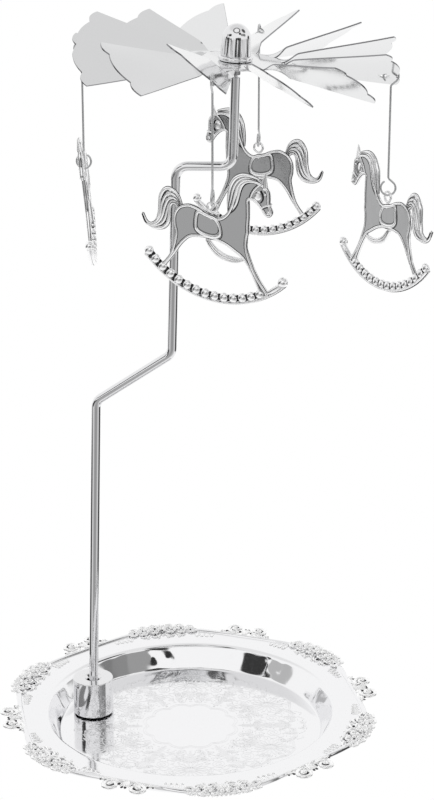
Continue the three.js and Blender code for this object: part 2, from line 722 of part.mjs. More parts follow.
// The rotor rides on the needle's tip and settles with a lean of its own
const tip = needle.localToWorld(new THREE.Vector3(0, 0, NEEDLE_PROUD));
const riding = new THREE.Group();
riding.rotation.set(rad(ROTOR_NOD), rad(ROTOR_LEAN), 0);
const seat = new THREE.Vector3(0, 0, DOME_TIP_SEAT - SEAT_GAP).applyEuler(riding.rotation);
riding.position.copy(tip).sub(seat);
riding.add(piece('rotor', rotor(), satinSheet));
riding.add(piece('hub_bush', hubBush(), chrome));
riding.add(piece('dome_cap', domeCap(), chrome));
holder.add(riding);
holder.updateMatrixWorld(true);

// Each hook hangs upright from its hole, with its upper loop square to the rotor's rim
const horse = rockingHorse();
for (const [side, blade] of Object.entries(HOOK_BLADES)) {
  const hole = new THREE.Vector3(holeRadial(side), holeOffset(side), 0)
    .applyAxisAngle(new THREE.Vector3(1, 0, 0), -rad(BLADE_TILT))
    .applyMatrix4(bladeMatrix(blade))
    .applyMatrix4(riding.matrixWorld);
  const outward = Math.atan2(hole.y - riding.position.y, hole.x - riding.position.x);
  const { heading, tilt, lean } = POSES[side];
  const drop = HOOK_DROP * HOOK_SHARES[side];
  const hanger = new THREE.Group();
  hanger.position.set(
    hole.x + LOOP_RADIUS * Math.cos(outward),
    hole.y + LOOP_RADIUS * Math.sin(outward),
    hole.z - LOOP_ABOVE_SHEET,
  );
  hanger.rotation.z = outward;
  const hook = piece(`hook_${side}`, wireHook(drop), wireSteel);
  const charm = piece(`horse_${side}`, horse, castSilver);
  charm.position.z = -drop - EYE_SAG;
  charm.rotation.set(rad(lean), -rad(tilt), rad(heading) - outward, 'ZXY');
  hanger.add(hook, charm);
  holder.add(hanger);
}

export default holder;
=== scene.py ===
import json
import math
import random

import bmesh
import bpy
import numpy as np
from mathutils import Matrix, Vector


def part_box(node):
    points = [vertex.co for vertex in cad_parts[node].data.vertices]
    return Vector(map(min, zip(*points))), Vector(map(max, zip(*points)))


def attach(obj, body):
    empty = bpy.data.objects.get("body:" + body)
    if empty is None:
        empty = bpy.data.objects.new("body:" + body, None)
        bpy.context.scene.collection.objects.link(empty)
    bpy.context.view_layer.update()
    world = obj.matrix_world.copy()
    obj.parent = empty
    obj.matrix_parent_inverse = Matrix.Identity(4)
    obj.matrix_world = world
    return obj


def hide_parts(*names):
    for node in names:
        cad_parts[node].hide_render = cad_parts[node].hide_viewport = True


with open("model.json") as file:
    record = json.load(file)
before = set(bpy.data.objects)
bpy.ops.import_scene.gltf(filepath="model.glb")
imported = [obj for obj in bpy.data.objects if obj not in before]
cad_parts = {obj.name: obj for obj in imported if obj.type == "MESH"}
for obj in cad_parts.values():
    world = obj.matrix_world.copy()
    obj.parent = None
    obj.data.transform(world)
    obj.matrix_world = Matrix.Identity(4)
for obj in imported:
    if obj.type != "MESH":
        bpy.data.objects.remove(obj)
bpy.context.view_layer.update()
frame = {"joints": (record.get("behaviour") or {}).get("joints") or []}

# Rotating candle holder. Drawn in millimetres, turned into metres when a piece is made.
MM = 0.001
SIDES = ("right", "back", "left", "front")
Z_AXIS = np.array([0.0, 0.0, 1.0])
Y_AXIS = np.array([0.0, 1.0, 0.0])
TIP_OPEN = 0.03  # radians by which a rounded end stops short, so that its cap has an area

# Plate, its profile as radius and height
SHEET = 1.0
FLOOR_RADIUS = 33.8
HEEL_OUT = 0.71  # from the floor's edge to the centre of the curve into the wall
HEEL_RADIUS = 0.55
WALL_TOP_RADIUS = 37.7
BROW_CENTRE = 38.9
BROW_RADIUS = 1.5
RIM_HEIGHT = 7.1
FLANGE = [(39.6, 7.13), (41, 7.2), (42.5, 7.27), (44, 7.34), (44.9, 7.38), (45.3, 7.42)]
ROLL_CENTRE = (46.15, 7.35)
ROLL_RADII = (0.75, 0.62)
ROLL_TURN = (165, -120, 30)  # first and last angle, and steps
UNDERSIDE = [(45.2, 6.55), (42, 6.3), (39.2, 6.1), (38.3, 5.7), (35.6, 0.9), (35.1, 0.35), (34.5, 0), (20, 0),
             (0, 0)]
PLATE_STEPS = 360
EDGE_RADIUS = 46.9
EDGE_WAVE = 1.7
PAIRS = 6
FLOWER_AZIMUTH = -20
SCROLL_AZIMUTH = 10
RIM_CIRCLE = 47  # where the ornaments' millimetres along the edge are measured
LINE_WIDTH = 0.17  # half the width of an engraved line
FRAME_LINE = 0.12
HATCH_LINE = 0.1
VEIN_LINE = 0.09
LINE_RISE = 0.06
LINE_SINK = 0.01
ARC_STEP = 26
SPIRAL_CLOSE = 0.88

# Post and foot
FOOT_RADIUS = 5.4
FOOT_BASE = 1.45
FOOT_TOP = 11.25
FOOT_BORE = 1.6
BORE_FLOOR = 4.85
MOUTH_RADIUS = 2.4
MOUTH_DEPTH = 0.8
MAGNET_RADIUS = 4.3
MAGNET_BASE = 1.05
MAGNET_TOP = 3.25
SEAT_RADIUS = 4.6  # of the magnet's recess
SEAT_TOP = 3.3
ROD_RADIUS = 1.2
ROD_CHAMFER = 0.15
POST_BASE = 5.15
POST_AZIMUTH = -13.5
POST_LEAN = 1.64
POST_CORNERS = [(0, 0), (0, 84.9), (19.8, 99.5), (19.8, 147.9), (34.1, 148.9), (34.1, 170.8)]
BEND_RADIUS = 3.2
CORNER_LINE = 0.02  # extra points beside an eased corner keep the faces next to it flat
NEEDLE_RADIUS = 0.45
NEEDLE_FOOT = -5  # heights from the top of the post
NEEDLE_SHOULDER = 9.6
NEEDLE_TIP = 11.2

# Rotor and hub
BLADES = 12
BLADE_AZIMUTH = -14.9
BLADE_HALF_ANGLE = 13.0
BLADE_ROOT = 10.6
BLADE_START = 10.9
BLADE_LENGTH = 37.9
BLADE_SHEET = 0.36
CUT_SLOT = 1
BLADE_TILT = 33.3
TWIST_END = 15.4
NECK_SHARE = 0.28  # of the blade's length, divided more finely
BLADE_RISE = 5.0
CUP_DEPTH = 0.35
CUP_START = 14
CUP_END = 36
HAND_BEND = [-1.0, 0.7, 0.6, 1.0, 1.1, -1.7, 1.0, -3.2, 0, 5.8, -0.2, -2.6]
DISC_RADIUS = 11.4
DISC_SHEET = 0.4
DISC_CHAMFER = 0.1
HUB_SOCKET = 2.3
LOBE_DEPTH = 1.5
LOBE_SPLIT = 0.53
LOBE_SIDE = 0.6  # depth of an outer lobe as a share of the middle one's
HOOK_BLADES = {"right": 0, "back": 3, "left": 6, "front": 9}
HOLES = {"right": (35.5, 4.2), "back": (36.0, 3.19), "left": (35.7, 4.2), "front": (36.0, 4.2)}
HOLE_RADIUS = 0.95
DRILL_REACH = 2
DOME_SHOULDER = 5.5
DOME_RADIUS = 3.45
DOME_RISE = 3.6
DOME_GROOVE = [(3.45, 1.46), (3.45, 1.62), (3.72, 1.64)]
DOME_INSIDE = [(0, 7.9), (HUB_SOCKET, 5.6)]
BRIM_BASE = 0.25
BRIM_CENTRE = (3.8, 0.85)
BRIM_RADII = (0.45, 0.6)
BUSH_PROFILE = [(1.0, -3.2), (1.4, -3.2), (1.4, -1.2), (3.0, -1.2), (3.0, -0.5), (2.0, -0.5), (2.0, 2.2),
                (1.0, 2.2), (1.0, -3.2)]

# Hooks and horses
WIRE_RADIUS = 0.26
LOOP_RADIUS = 1.8
UPPER_LOOP = (-55, 218, 34)  # first and last angle, and steps
LOWER_LOOP = (125, 415, 34)
SHANK = (1.22, 1.45)  # where the wire leaves a loop and runs straight, in radii of the loop
EYE_RADIUS = 1.25
EYE_WIRE = 0.32
EYE_SAG = 0.37
HORSE_TILTS = {"right": -3.6, "back": -4.3, "left": -4.0, "front": -8.1}
ROCKER_CENTRE = np.array([0.75, 1.9])
ROCKER_RADIUS = 25.3
ROCKER_START = -137.5
ROCKER_END = -40.4
RAIL_SECTION = np.array([(-0.2, -0.6), (-0.1, -0.7), (0.1, -0.7), (0.2, -0.6), (0.2, 0.6), (0.1, 0.7),
                         (-0.1, 0.7), (-0.2, 0.6)])
BEAD_CIRCLE = 23.8
LEAF_CIRCLE = 24.3
TIP_CIRCLE = 24.0
BEAD_PITCH = 2.46
BEADS = 14
FACE = 0.34  # half thickness of a horse's casting inside its raised border
SADDLE_FACE = 0.42
EASED_EDGE = 0.16
SHADE_LIFT = 0.015  # keeps a strip of painted shade off the face that it lies on
HAIR = 0.64
HAIR_STEPS = 44
HAIR_RIM = 0.12
# Finish slots of a horse: the face, painted shade in hollows, painted highlight on raised parts, painted
# shade on eased edges
FLANK_SLOT, SHADE_SLOT, HIGHLIGHT_SLOT, EDGE_SHADE_SLOT = range(4)

# Camera and table
SENSOR = 36
FOCAL_PIXELS = 1999.36
PICTURE_HEIGHT = 800
CAMERA_AT = (-0.00023, -0.48207, 0.25141)  # metres
CAMERA_DIP = 18.2
CAMERA_TURN = -0.873
WHITE = (1, 1, 1, 1)
TABLE_RADIUS = 120
TABLE_DROP = 0.2

joints = {joint["name"]: joint for joint in frame["joints"]}


# Curves

def smooth(points, per_span=6, closed=False):
    """A Catmull-Rom curve through given points."""
    p = np.asarray(points, float)
    if closed:
        p = np.vstack([p[-1], p, p[0], p[1]])
    else:
        p = np.vstack([2 * p[0] - p[1], p, 2 * p[-1] - p[-2]])
    t = np.linspace(0, 1, per_span, endpoint=False)[:, None]
    spans = []
    for a, b, c, d in zip(p, p[1:], p[2:], p[3:]):
        spans.append(0.5 * (2 * b + (c - a) * t + (2 * a - 5 * b + 4 * c - d) * t**2
                            + (3 * b - a - 3 * c + d) * t**3))
    if not closed:
        spans.append(p[-2][None])
    return np.vstack(spans)


def evenly(path, count):
    """The same path with its points an even distance apart."""
    step = np.linalg.norm(np.diff(path, axis=0), axis=1)
    run = np.concatenate([[0], np.cumsum(step)])
    marks = np.linspace(0, run[-1], count)
    return np.stack([np.interp(marks, run, path[:, k]) for k in range(path.shape[1])], 1)


def unit(v):
    return v / np.linalg.norm(v, axis=-1, keepdims=True)


def inset(outline, amount):
    """A closed outline in the plane, moved inwards."""
    along = unit(np.roll(outline, -1, 0) - np.roll(outline, 1, 0))
    area = np.sum(outline[:, 0] * np.roll(outline[:, 1], -1) - outline[:, 1] * np.roll(outline[:, 0], -1))
    inward = np.stack([-along[:, 1], along[:, 0]], 1) * (1 if area > 0 else -1)
    return outline + amount * inward


def swell(count, start, middle, end):
    """Radii that grow from start to middle and shrink to end."""
    t = np.linspace(0, 1, count)
    bow = np.sin(np.pi * t) ** 0.7
    return start + (end - start) * t + (middle - (start + end) / 2) * bow


def smoothstep(x, low, high):
    t = np.clip((x - low) / (high - low), 0, 1)
    return t * t * (3 - 2 * t)


def circle(steps):
    a = np.linspace(0, 2 * np.pi, steps, endpoint=False)
    return np.stack([np.cos(a), np.sin(a)], 1)


def arc_points(centre, radii, start, end, steps):
    """Points of an arc in the plane from one angle to another, in degrees."""
    angles = np.radians(np.linspace(start, end, steps))
    return [(centre[0] + radii[0] * math.cos(a), centre[1] + radii[1] * math.sin(a)) for a in angles]


def turned_by(degrees):
    """A matrix that turns rows of points in the plane."""
    c, s = math.cos(math.radians(degrees)), math.sin(math.radians(degrees))
    return np.array([[c, s], [-s, c]])


def flat(points, n=0.0):
    """Points of the plane set upright, off the plane's middle by n."""
    p = np.asarray(points, float)
    return np.stack([p[:, 0], np.full(len(p), n), p[:, 1]], 1)


# Pieces

def placed(name, data):
    thing = bpy.data.objects.new(name, data)
    bpy.context.scene.collection.objects.link(thing)
    return thing


class Shape:
    """Gathers closed surfaces in millimetres and makes one object of them."""

    def __init__(self):
        self.points = []
        self.faces = []
        self.soft = []
        self.slots = []
        self.finish = 0  # slot of the surfaces that name none

    def add(self, points, faces, soft=True, slot=None):
        base = len(self.points)
        self.points.extend(map(tuple, np.asarray(points, float).reshape(-1, 3)))
        self.faces.extend(tuple(base + i for i in face) for face in faces)
        self.soft.extend([soft] * len(faces))
        self.slots.extend([self.finish if slot is None else slot] * len(faces))

    def grid(self, rows, close_rows=False, close_columns=False, caps=False, slot=None):
        rows = np.asarray(rows, float)
        n, m = rows.shape[:2]
        faces = []
        for i in range(n if close_rows else n - 1):
            after = (i + 1) % n
            for j in range(m if close_columns else m - 1):
                beside = (j + 1) % m
                faces.append((i * m + j, i * m + beside, after * m + beside, after * m + j))
        self.add(rows, faces, True, slot)
        if caps:
            self.add(rows[0], [tuple(range(m))], False, slot)
            self.add(rows[-1], [tuple(range(m))], False, slot)

    def turned(self, profile, steps=72):
        """A profile of (radius, height) pairs turned about Z."""
        rows = [np.column_stack([r * circle(steps), np.full(steps, z)]) for r, z in profile]
        self.grid(rows, close_columns=True)

    def sweep(self, path, section, up, scale=1.0, closed=False, round_ends=3):
        """A section of (sideways, upward) offsets carried along a path."""
        path = np.asarray(path, float)
        scale = np.broadcast_to(np.asarray(scale, float), len(path)).copy()
        if closed:
            along = np.roll(path, -1, 0) - np.roll(path, 1, 0)
        else:
            along = np.gradient(path, axis=0)
        along = unit(along)
        if round_ends and not closed:
            reach = np.abs(section[:, 0]).max()
            bends = np.linspace(0, np.pi / 2, round_ends + 1)[1:] - TIP_OPEN
            push = np.sin(bends)[:, None] * reach
            head = path[0] - along[0] * push[::-1] * scale[0]
            foot = path[-1] + along[-1] * push * scale[-1]
            path = np.vstack([head, path, foot])
            along = np.vstack([along[:1]] * round_ends + [along] + [along[-1:]] * round_ends)
            scale = np.concatenate([scale[0] * np.cos(bends[::-1]), scale, scale[-1] * np.cos(bends)])
        across = unit(np.cross(along, up))
        lift = np.cross(across, along)
        rows = (path[:, None] + scale[:, None, None] * (section[None, :, :1] * across[:, None]
                                                        + section[None, :, 1:] * lift[:, None]))
        self.grid(rows, close_rows=closed, close_columns=True, caps=not closed)

    def tube(self, path, radius, up=Z_AXIS, sides=8, squash=1.0, closed=False):
        self.sweep(path, circle(sides) * [1.0, squash], up, radius, closed)

    def ball(self, centre, radii, turn=0.0, around=12):
        """An ellipsoid whose first two radii are turned about Z, in radians."""
        ring = circle(around) * radii[:2] @ turned_by(math.degrees(turn))
        rows = [np.column_stack([math.cos(a) * ring, np.full(around, math.sin(a) * radii[2])])
                for a in np.linspace(-np.pi / 2, np.pi / 2, around // 2 + 1)]
        self.grid(np.array(rows) + centre, close_columns=True)

    def moved(self, matrix):
        """The same shape in another place."""
        copy = Shape()
        m = np.array(matrix)
        copy.points = list(map(tuple, np.asarray(self.points) @ m[:3, :3].T + m[:3, 3]))
        copy.faces = self.faces
        copy.soft = self.soft
        copy.slots = self.slots
        return copy

    def object(self, name, *finishes, sharp=None):
        data = bpy.data.meshes.new(name)
        data.from_pydata((np.asarray(self.points) * MM).tolist(), [], self.faces)
        data.polygons.foreach_set("use_smooth", self.soft)
        data.polygons.foreach_set("material_index", self.slots)
        for finish in finishes:
            data.materials.append(finish)
        bm = bmesh.new()
        bm.from_mesh(data)
        bmesh.ops.remove_doubles(bm, verts=bm.verts, dist=1e-7)
        bmesh.ops.recalc_face_normals(bm, faces=bm.faces)
        bm.to_mesh(data)
        bm.free()
        if sharp:
            data.set_sharp_from_angle(angle=math.radians(sharp))
        return placed(name, data)


def baked(piece):
    """The piece with its modifiers made real."""
    graph = bpy.context.evaluated_depsgraph_get()
    data = bpy.data.meshes.new_from_object(piece.evaluated_get(graph), depsgraph=graph)
    piece.modifiers.clear()
    piece.data = data
    return piece


def repeat_tree():
    """Node tree: one motif repeated about Z, each copy a step further round."""
    tree = bpy.data.node_groups.new("repeat_about_z", "GeometryNodeTree")
    tree.interface.new_socket("Geometry", in_out="OUTPUT", socket_type="NodeSocketGeometry")
    for name, kind in (("Motif", "Object"), ("Count", "Int"), ("First", "Float"), ("Step", "Float"),
                       ("Finish", "Material")):
        tree.interface.new_socket(name, in_out="INPUT", socket_type="NodeSocket" + kind)
    new = tree.nodes.new
    given = new("NodeGroupInput")
    line = new("GeometryNodeMeshLine")
    line.inputs["Offset"].default_value = (0, 0, 0)
    motif = new("GeometryNodeObjectInfo")
    index = new("GeometryNodeInputIndex")
    turn = new("ShaderNodeMath")
    turn.operation = "MULTIPLY_ADD"
    angles = new("ShaderNodeCombineXYZ")
    place = new("GeometryNodeInstanceOnPoints")
    real = new("GeometryNodeRealizeInstances")
    paint = new("GeometryNodeSetMaterial")
    result = new("NodeGroupOutput")
    for source, output, target, socket in (
            (given, "Count", line, "Count"), (given, "Motif", motif, "Object"), (index, 0, turn, 0),
            (given, "Step", turn, 1), (given, "First", turn, 2), (turn, 0, angles, "Z"),
            (line, "Mesh", place, "Points"), (motif, "Geometry", place, "Instance"),
            (angles, 0, place, "Rotation"), (place, "Instances", real, "Geometry"),
            (real, "Geometry", paint, "Geometry"), (given, "Finish", paint, "Material"),
            (paint, "Geometry", result, "Geometry")):
        tree.links.new(source.outputs[output], target.inputs[socket])
    return tree


REPEAT = repeat_tree()


def repeated(name, motif, count, first, step, finish):
    """Copies of a motif about Z, angles in degrees."""
    source = motif.object(name + "_motif", finish)
    piece = placed(name, bpy.data.meshes.new(name))
    modifier = piece.modifiers.new("repeat", "NODES")
    modifier.node_group = REPEAT
    values = {"Motif": source, "Count": count, "First": math.radians(first), "Step": math.radians(step),
              "Finish": finish}
    for socket in REPEAT.interface.items_tree:
        if socket.in_out == "INPUT":
            modifier[socket.identifier] = values[socket.name]
    baked(piece)
    bpy.data.objects.remove(source)
    return piece


def merged(name, *pieces):
    """One object from several, keeping their finishes."""
    bm = bmesh.new()
    finishes = []
    for piece in pieces:
        start = len(bm.faces)
        bm.from_mesh(piece.data)
        bm.faces.ensure_lookup_table()
        for finish in piece.data.materials:
            if finish not in finishes:
                finishes.append(finish)
        table = [finishes.index(finish) for finish in piece.data.materials]
        for face in bm.faces[start:]:
            face.material_index = table[face.material_index] if table else 0
    data = bpy.data.meshes.new(name)
    bm.to_mesh(data)
    bm.free()
    for finish in finishes:
        data.materials.append(finish)
    for piece in pieces:
        bpy.data.objects.remove(piece)
    return placed(name, data)


def hand_over(piece, body, slot, *nodes):
    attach(piece, body)
    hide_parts(*nodes)


def turned_piece(name, profile, place, finish, steps=72, sharp=None):
    shape = Shape()
    shape.turned(profile, steps)
    return shape.moved(place).object(name, finish, sharp=sharp)


# Finishes

def metal(name, colour, roughness, bumps=(), metallic=1):
    """Plated metal with faint waves: bumps are (noise scale, detail, height in mm)."""
    finish = bpy.data.materials.new(name)
    finish.use_nodes = True
    nodes, links = finish.node_tree.nodes, finish.node_tree.links
    shader = nodes["Principled BSDF"]
    shader.inputs["Base Color"].default_value = (*colour, 1)
    shader.inputs["Metallic"].default_value = metallic
    shader.inputs["Roughness"].default_value = roughness
    place = nodes.new("ShaderNodeTexCoord")
    before = None
    for scale, detail, height in bumps:
        noise = nodes.new("ShaderNodeTexNoise")
        noise.inputs["Scale"].default_value = scale
        noise.inputs["Detail"].default_value = detail
        links.new(place.outputs["Object"], noise.inputs["Vector"])
        bump = nodes.new("ShaderNodeBump")
        bump.inputs["Strength"].default_value = 1
        bump.inputs["Distance"].default_value = height * MM
        links.new(noise.outputs["Fac"], bump.inputs["Height"])
        if before:
            links.new(before.outputs["Normal"], bump.inputs["Normal"])
        before = bump
    if before:
        links.new(before.outputs["Normal"], shader.inputs["Normal"])
    return finish


SILVER = metal("silver_plate", (0.90, 0.90, 0.91), 0.07, [(55, 1, 0.12), (320, 2, 0.012)])
ENGRAVED = metal("engraved_lines", (0.84, 0.84, 0.85), 0.12)
ORNAMENT = metal("cast_ornament", (0.99, 0.99, 0.99), 0.28)
CHROME = metal("chrome", (0.80, 0.80, 0.81), 0.08)
SATIN = metal("satin_sheet", (0.77, 0.773, 0.778), 0.08, [(38, 1, 0.16)])
CAST = metal("cast_silver", (0.43, 0.432, 0.436), 0.12, [(260, 2, 0.02)])
# Brighter copy of cast_silver on the horses' raised lines, hair, rims and beads: painted highlight
PAINTED_HIGHLIGHT = metal("cast_painted_highlight", (0.96, 0.96, 0.965), 0.2)
CUT_EDGE = metal("cut_edge", (0.3, 0.3, 0.31), 0.3)
# Near-black on the horses' eased edges and hair rims, and as dark spots in the flower ornaments' hollows:
# painted shade
SOFTER_PAINTED_SHADE = metal("softer_painted_shade", (0.09, 0.091, 0.093), 0.3)
# Near-black strips and spots in the hollows of the horses and scroll ornaments: painted shade
DEEP_PAINTED_SHADE = metal("painted_shade", (0.035, 0.035, 0.037), 0.35)
STEEL = metal("drawn_steel", (0.36, 0.362, 0.366), 0.35)
WIRE = metal("wire", (0.6, 0.605, 0.61), 0.25)
MAGNET = metal("magnet", (0.05, 0.05, 0.055), 0.6, metallic=0.2)


# Plate: dish with a rolled edge that waves six times

# Unevenness of the wall: waves as height, count, start and lean, and single hollows as azimuth, share of the
# wall's height, depth and half width
WAVES = [(0.05, 9, 0.6, 1.5), (0.03, 22, 2.1, -2.5), (0.02, 39, 0, 3)]
DENTS = [(107, 0.6, 0.22, 2.6), (101, 0.45, -0.26, 2.4), (96, 0.6, 0.16, 2.0), (70, 0.7, -0.14, 2.5),
         (54, 0.55, 0.2, 2.4), (47, 0.6, -0.2, 2.4), (186, 0.6, -0.25, 5)]
DENT_HEIGHT = 0.3
DENT_END = 39
# Stretches of the rolled edge that are pressed flat, as azimuth from and to, the heights and radii of their
# face, and the angles round the roll between which they lie
FLATS = [(22, 28), (79, 86), (131, 138), (196, 202), (256, 261), (290, 298), (320, 333)]
FLAT_EASE = 1.5
FLAT_HEIGHTS = (7.05, 7.88)
FLAT_RADII = (46.86, 46.80)
FLAT_FROM = -23
FLAT_TO = 57


def edge_reach(azimuth):
    return EDGE_WAVE * np.cos(np.radians(azimuth - FLOWER_AZIMUTH) * PAIRS)


def dish():
    floor = [(r, SHEET) for r in (0, 8, 16, 24, 31, 33.5)]
    heel = arc_points((FLOOR_RADIUS + HEEL_OUT, SHEET + HEEL_RADIUS), (HEEL_RADIUS,) * 2, -90, -36, 7)
    brow = arc_points((BROW_CENTRE, RIM_HEIGHT - BROW_RADIUS), (BROW_RADIUS,) * 2, 144, 92, 8)
    wall = np.linspace(heel[-1], brow[0], 10)[1:-1].tolist()
    roll = arc_points(ROLL_CENTRE, ROLL_RADII, *ROLL_TURN)
    before = floor + heel + wall + brow + FLANGE
    profile = np.array(before + roll + UNDERSIDE)
    azimuth = np.linspace(0, 360, PLATE_STEPS, endpoint=False)
    a = np.radians(azimuth)
    share = np.clip((profile[:, 0] - WALL_TOP_RADIUS) / (EDGE_RADIUS - WALL_TOP_RADIUS), 0, 1)
    radius = profile[:, :1] + edge_reach(azimuth)[None] * (share**2)[:, None]
    climb = np.clip((profile[:, 1:] - SHEET) / (RIM_HEIGHT - SHEET), 0, 1)
    dents = sum(height * np.sin(count * a + first + lean * climb) for height, count, first, lean in WAVES)
    for where, height, depth, width in DENTS:
        off = ((azimuth - where) / width) ** 2 + ((climb - height) / DENT_HEIGHT) ** 2
        dents = dents + depth * np.exp(-off)
    radius = radius + dents * np.sin(np.pi * climb) * (profile[:, :1] < DENT_END)
    pressed = [np.interp(z, FLAT_HEIGHTS, FLAT_RADII) - r if FLAT_FROM < turn < FLAT_TO else 0
               for turn, (r, z) in zip(np.linspace(*ROLL_TURN), roll)]
    flat_share = np.max([smoothstep(azimuth, start - FLAT_EASE, start)
                         * (1 - smoothstep(azimuth, end, end + FLAT_EASE)) for start, end in FLATS], axis=0)
    radius[len(before):len(before) + len(roll)] += np.outer(pressed, flat_share)
    height = np.repeat(profile[:, 1:], PLATE_STEPS, 1)
    shape = Shape()
    shape.grid(np.stack([radius * np.cos(a), radius * np.sin(a), height], 2), close_columns=True)
    return shape.object("dish", SILVER)


class Engraving:
    """Raised lines on the plate's floor, drawn in one sixth of it as (sideways, outward) millimetres."""

    def __init__(self):
        self.shape = Shape()

    def line(self, points, width=LINE_WIDTH):
        path = np.asarray(points, float)
        along = unit(np.gradient(path, axis=0))
        side = np.stack([-along[:, 1], along[:, 0]], 1) * width
        rows = []
        for offset, z in ((-1, -LINE_SINK), (0, LINE_RISE), (1, -LINE_SINK)):
            q = path + offset * side
            rows.append(np.stack([q[:, 1], q[:, 0], np.full(len(q), SHEET + z)], 1))
        self.shape.grid(rows)

    def both(self, points, **how):
        """The line and its mirror image."""
        path = np.asarray(points, float)
        self.line(path, **how)
        self.line(path * [-1, 1], **how)

    def arc(self, centre, radius, start, end):
        steps = max(4, int(abs(end - start) * radius / ARC_STEP) + 2)
        self.both(arc_points(centre, (radius, radius), start, end, steps))

    def leaf(self, base, angle, length, width):
        t = np.linspace(0, 1, 8)
        half = np.sin(np.pi * t**0.8) * width / 2
        turn = turned_by(angle)
        for edge in (half, -half, 0.25 * half):
            self.both(np.asarray(base) + np.stack([t * length, edge], 1) @ turn)
        for k in (0.3, 0.5, 0.7):
            tip = width * 0.36 * math.sin(math.pi * k)
            for sign in (-1, 1):
                vein = np.array([[k * length, 0], [(k + 0.13) * length, sign * tip]])
                self.both(np.asarray(base) + vein @ turn, width=VEIN_LINE)

    def spiral(self, centre, radius, start, turns):
        t = np.linspace(0, 1, int(10 * abs(turns)) + 4)
        a = np.radians(start + 360 * turns * t)
        r = radius * (1 - SPIRAL_CLOSE * t)
        self.both(np.asarray(centre) + (r * np.stack([np.cos(a), np.sin(a)])).T)


def polar(degrees, radius):
    a = np.radians(np.asarray(degrees, float))
    return np.stack([radius * np.sin(a), radius * np.cos(a)], 1)


# One of the floor's six panels. Points are sideways and outward, the frame's are degrees and radius
PANEL_FRAME = np.array([(27.6, 14), (28.3, 20), (28.0, 24.5), (25.5, 27.6), (20, 28.6), (14, 28.2), (9, 29.2),
                        (4, 30.5), (0, 30.7)])
FRAME_GAP = 0.65
PETAL = [(1.2, 0), (2.6, 0.42), (3.9, 0.36), (4.4, 0), (3.9, -0.36), (2.6, -0.42), (1.2, 0)]
PETALS = 16
FLOWER_AT = (0, 24.2)
ROSE_AT = np.array([7.4, 21.2])
ROSE_LOBE = 51.4
# Leaves as foot, angle and length, scrolls as centre, radius, first angle and turns
LEAVES = [((4.9, 19.6), -140, 3.2), ((5.6, 23.6), 110, 3.6), ((8.6, 24.0), 60, 3.6), ((9.8, 21.8), 25, 3.0),
          ((9.4, 19.4), -40, 2.6), ((3.6, 17.2), -100, 3.0), ((4.4, 26.4), 20, 4.4), ((6.9, 18.2), -75, 3.2)]
SCROLLS = [((2.4, 14.6), 1.3, 150, 1.6), ((5.2, 15.6), 1.0, -30, -1.5), ((11.3, 25.2), 1.15, 200, 1.5),
           ((10.7, 18.6), 0.95, 60, -1.6), ((12.9, 23.0), 0.9, 240, 1.4), ((8.7, 15.9), 0.85, 10, 1.5),
           ((13.6, 27.0), 1.0, 90, -1.5)]
SPRAY = [(0, 27.6), (0.5, 28.8), (0, 30.2), (-0.5, 28.8), (0, 27.6)]
# Hatching: rows of short strokes, left out in circles round the motifs
HATCH_SEED = 7
HATCH_ROWS = 17
HATCH_START = 14.3
HATCH_STEP = 0.92
HATCH_LENGTH = 38
HATCH_FREE = [(FLOWER_AT, 4.6), (ROSE_AT, 3.6), (ROSE_AT * [-1, 1], 3.6), ((0, 18.6), 2.2)]


def floor_panel():
    """A framed bunch of flowers between two radial borders."""
    e = Engraving()
    for gap in (0, FRAME_GAP):
        lobe = np.linspace(0, 30, 12)
        e.both(polar(lobe, 11.1 + gap + 1.2 * np.sin(np.radians(6 * lobe))), width=FRAME_LINE)
        e.both(smooth(polar(*PANEL_FRAME.T), 4) * (1 - gap / 40))
    e.both(polar([29.4, 29.4], np.array([12.9, 27])))
    # Flower at the head of the bunch, a fan of leaves below it
    petal = smooth(PETAL, 2)
    for k in range(PETALS):
        e.line(petal @ turned_by(360 / PETALS * k) + FLOWER_AT)
    a = np.linspace(0, 2 * np.pi, 14)
    for radius in (0.45, 0.95, 1.35):
        e.line(np.stack([radius * np.cos(a), radius * np.sin(a)], 1) + FLOWER_AT)
    for angle in (-90, -62, -36):
        e.leaf((0.3, 20.2), angle, 4.6, 1.5)
    # Roses to both sides, leaves, and scrolls near the middle and in the corners
    e.spiral(ROSE_AT, 2.1, 20, 2.3)
    for k in range(7):
        angle = ROSE_LOBE * k
        e.arc(ROSE_AT + np.array([2.35, 0]) @ turned_by(angle), 1.05, angle - 105, angle + 105)
    for base, angle, length in LEAVES:
        e.leaf(base, angle, length, 1.35)
    for scroll in SCROLLS:
        e.spiral(*scroll)
    e.both(smooth([(1.2, 15.2), (0.4, 17.2), (0.9, 19.0), (0.2, 20.4)], 3))
    e.both(smooth([(5.6, 16.6), (7.4, 17.0), (9.2, 17.9), (10.9, 20.0)], 3))
    for degrees in (-4.5, 0, 4.5):
        e.line(smooth(SPRAY, 2) @ turned_by(-degrees))
    rng = random.Random(HATCH_SEED)
    for row in range(HATCH_ROWS):
        radius = HATCH_START + HATCH_STEP * row
        for k in range(7):
            degrees = -24.5 + 8.2 * k + rng.uniform(-2, 2)
            x, y = polar([degrees], radius)[0]
            if any(math.hypot(x - c[0], y - c[1]) < clear for c, clear in HATCH_FREE):
                continue
            e.line(polar([degrees, degrees + HATCH_LENGTH / radius], radius), width=HATCH_LINE)
    # Little sprigs outside the frame
    for degrees in (17, 23.5, 29):
        sprig = polar([degrees - 3, degrees - 1, degrees, degrees + 1.4], np.array([29.4, 30.4, 30.9, 30.3]))
        e.both(smooth(sprig, 2))
    return e.shape


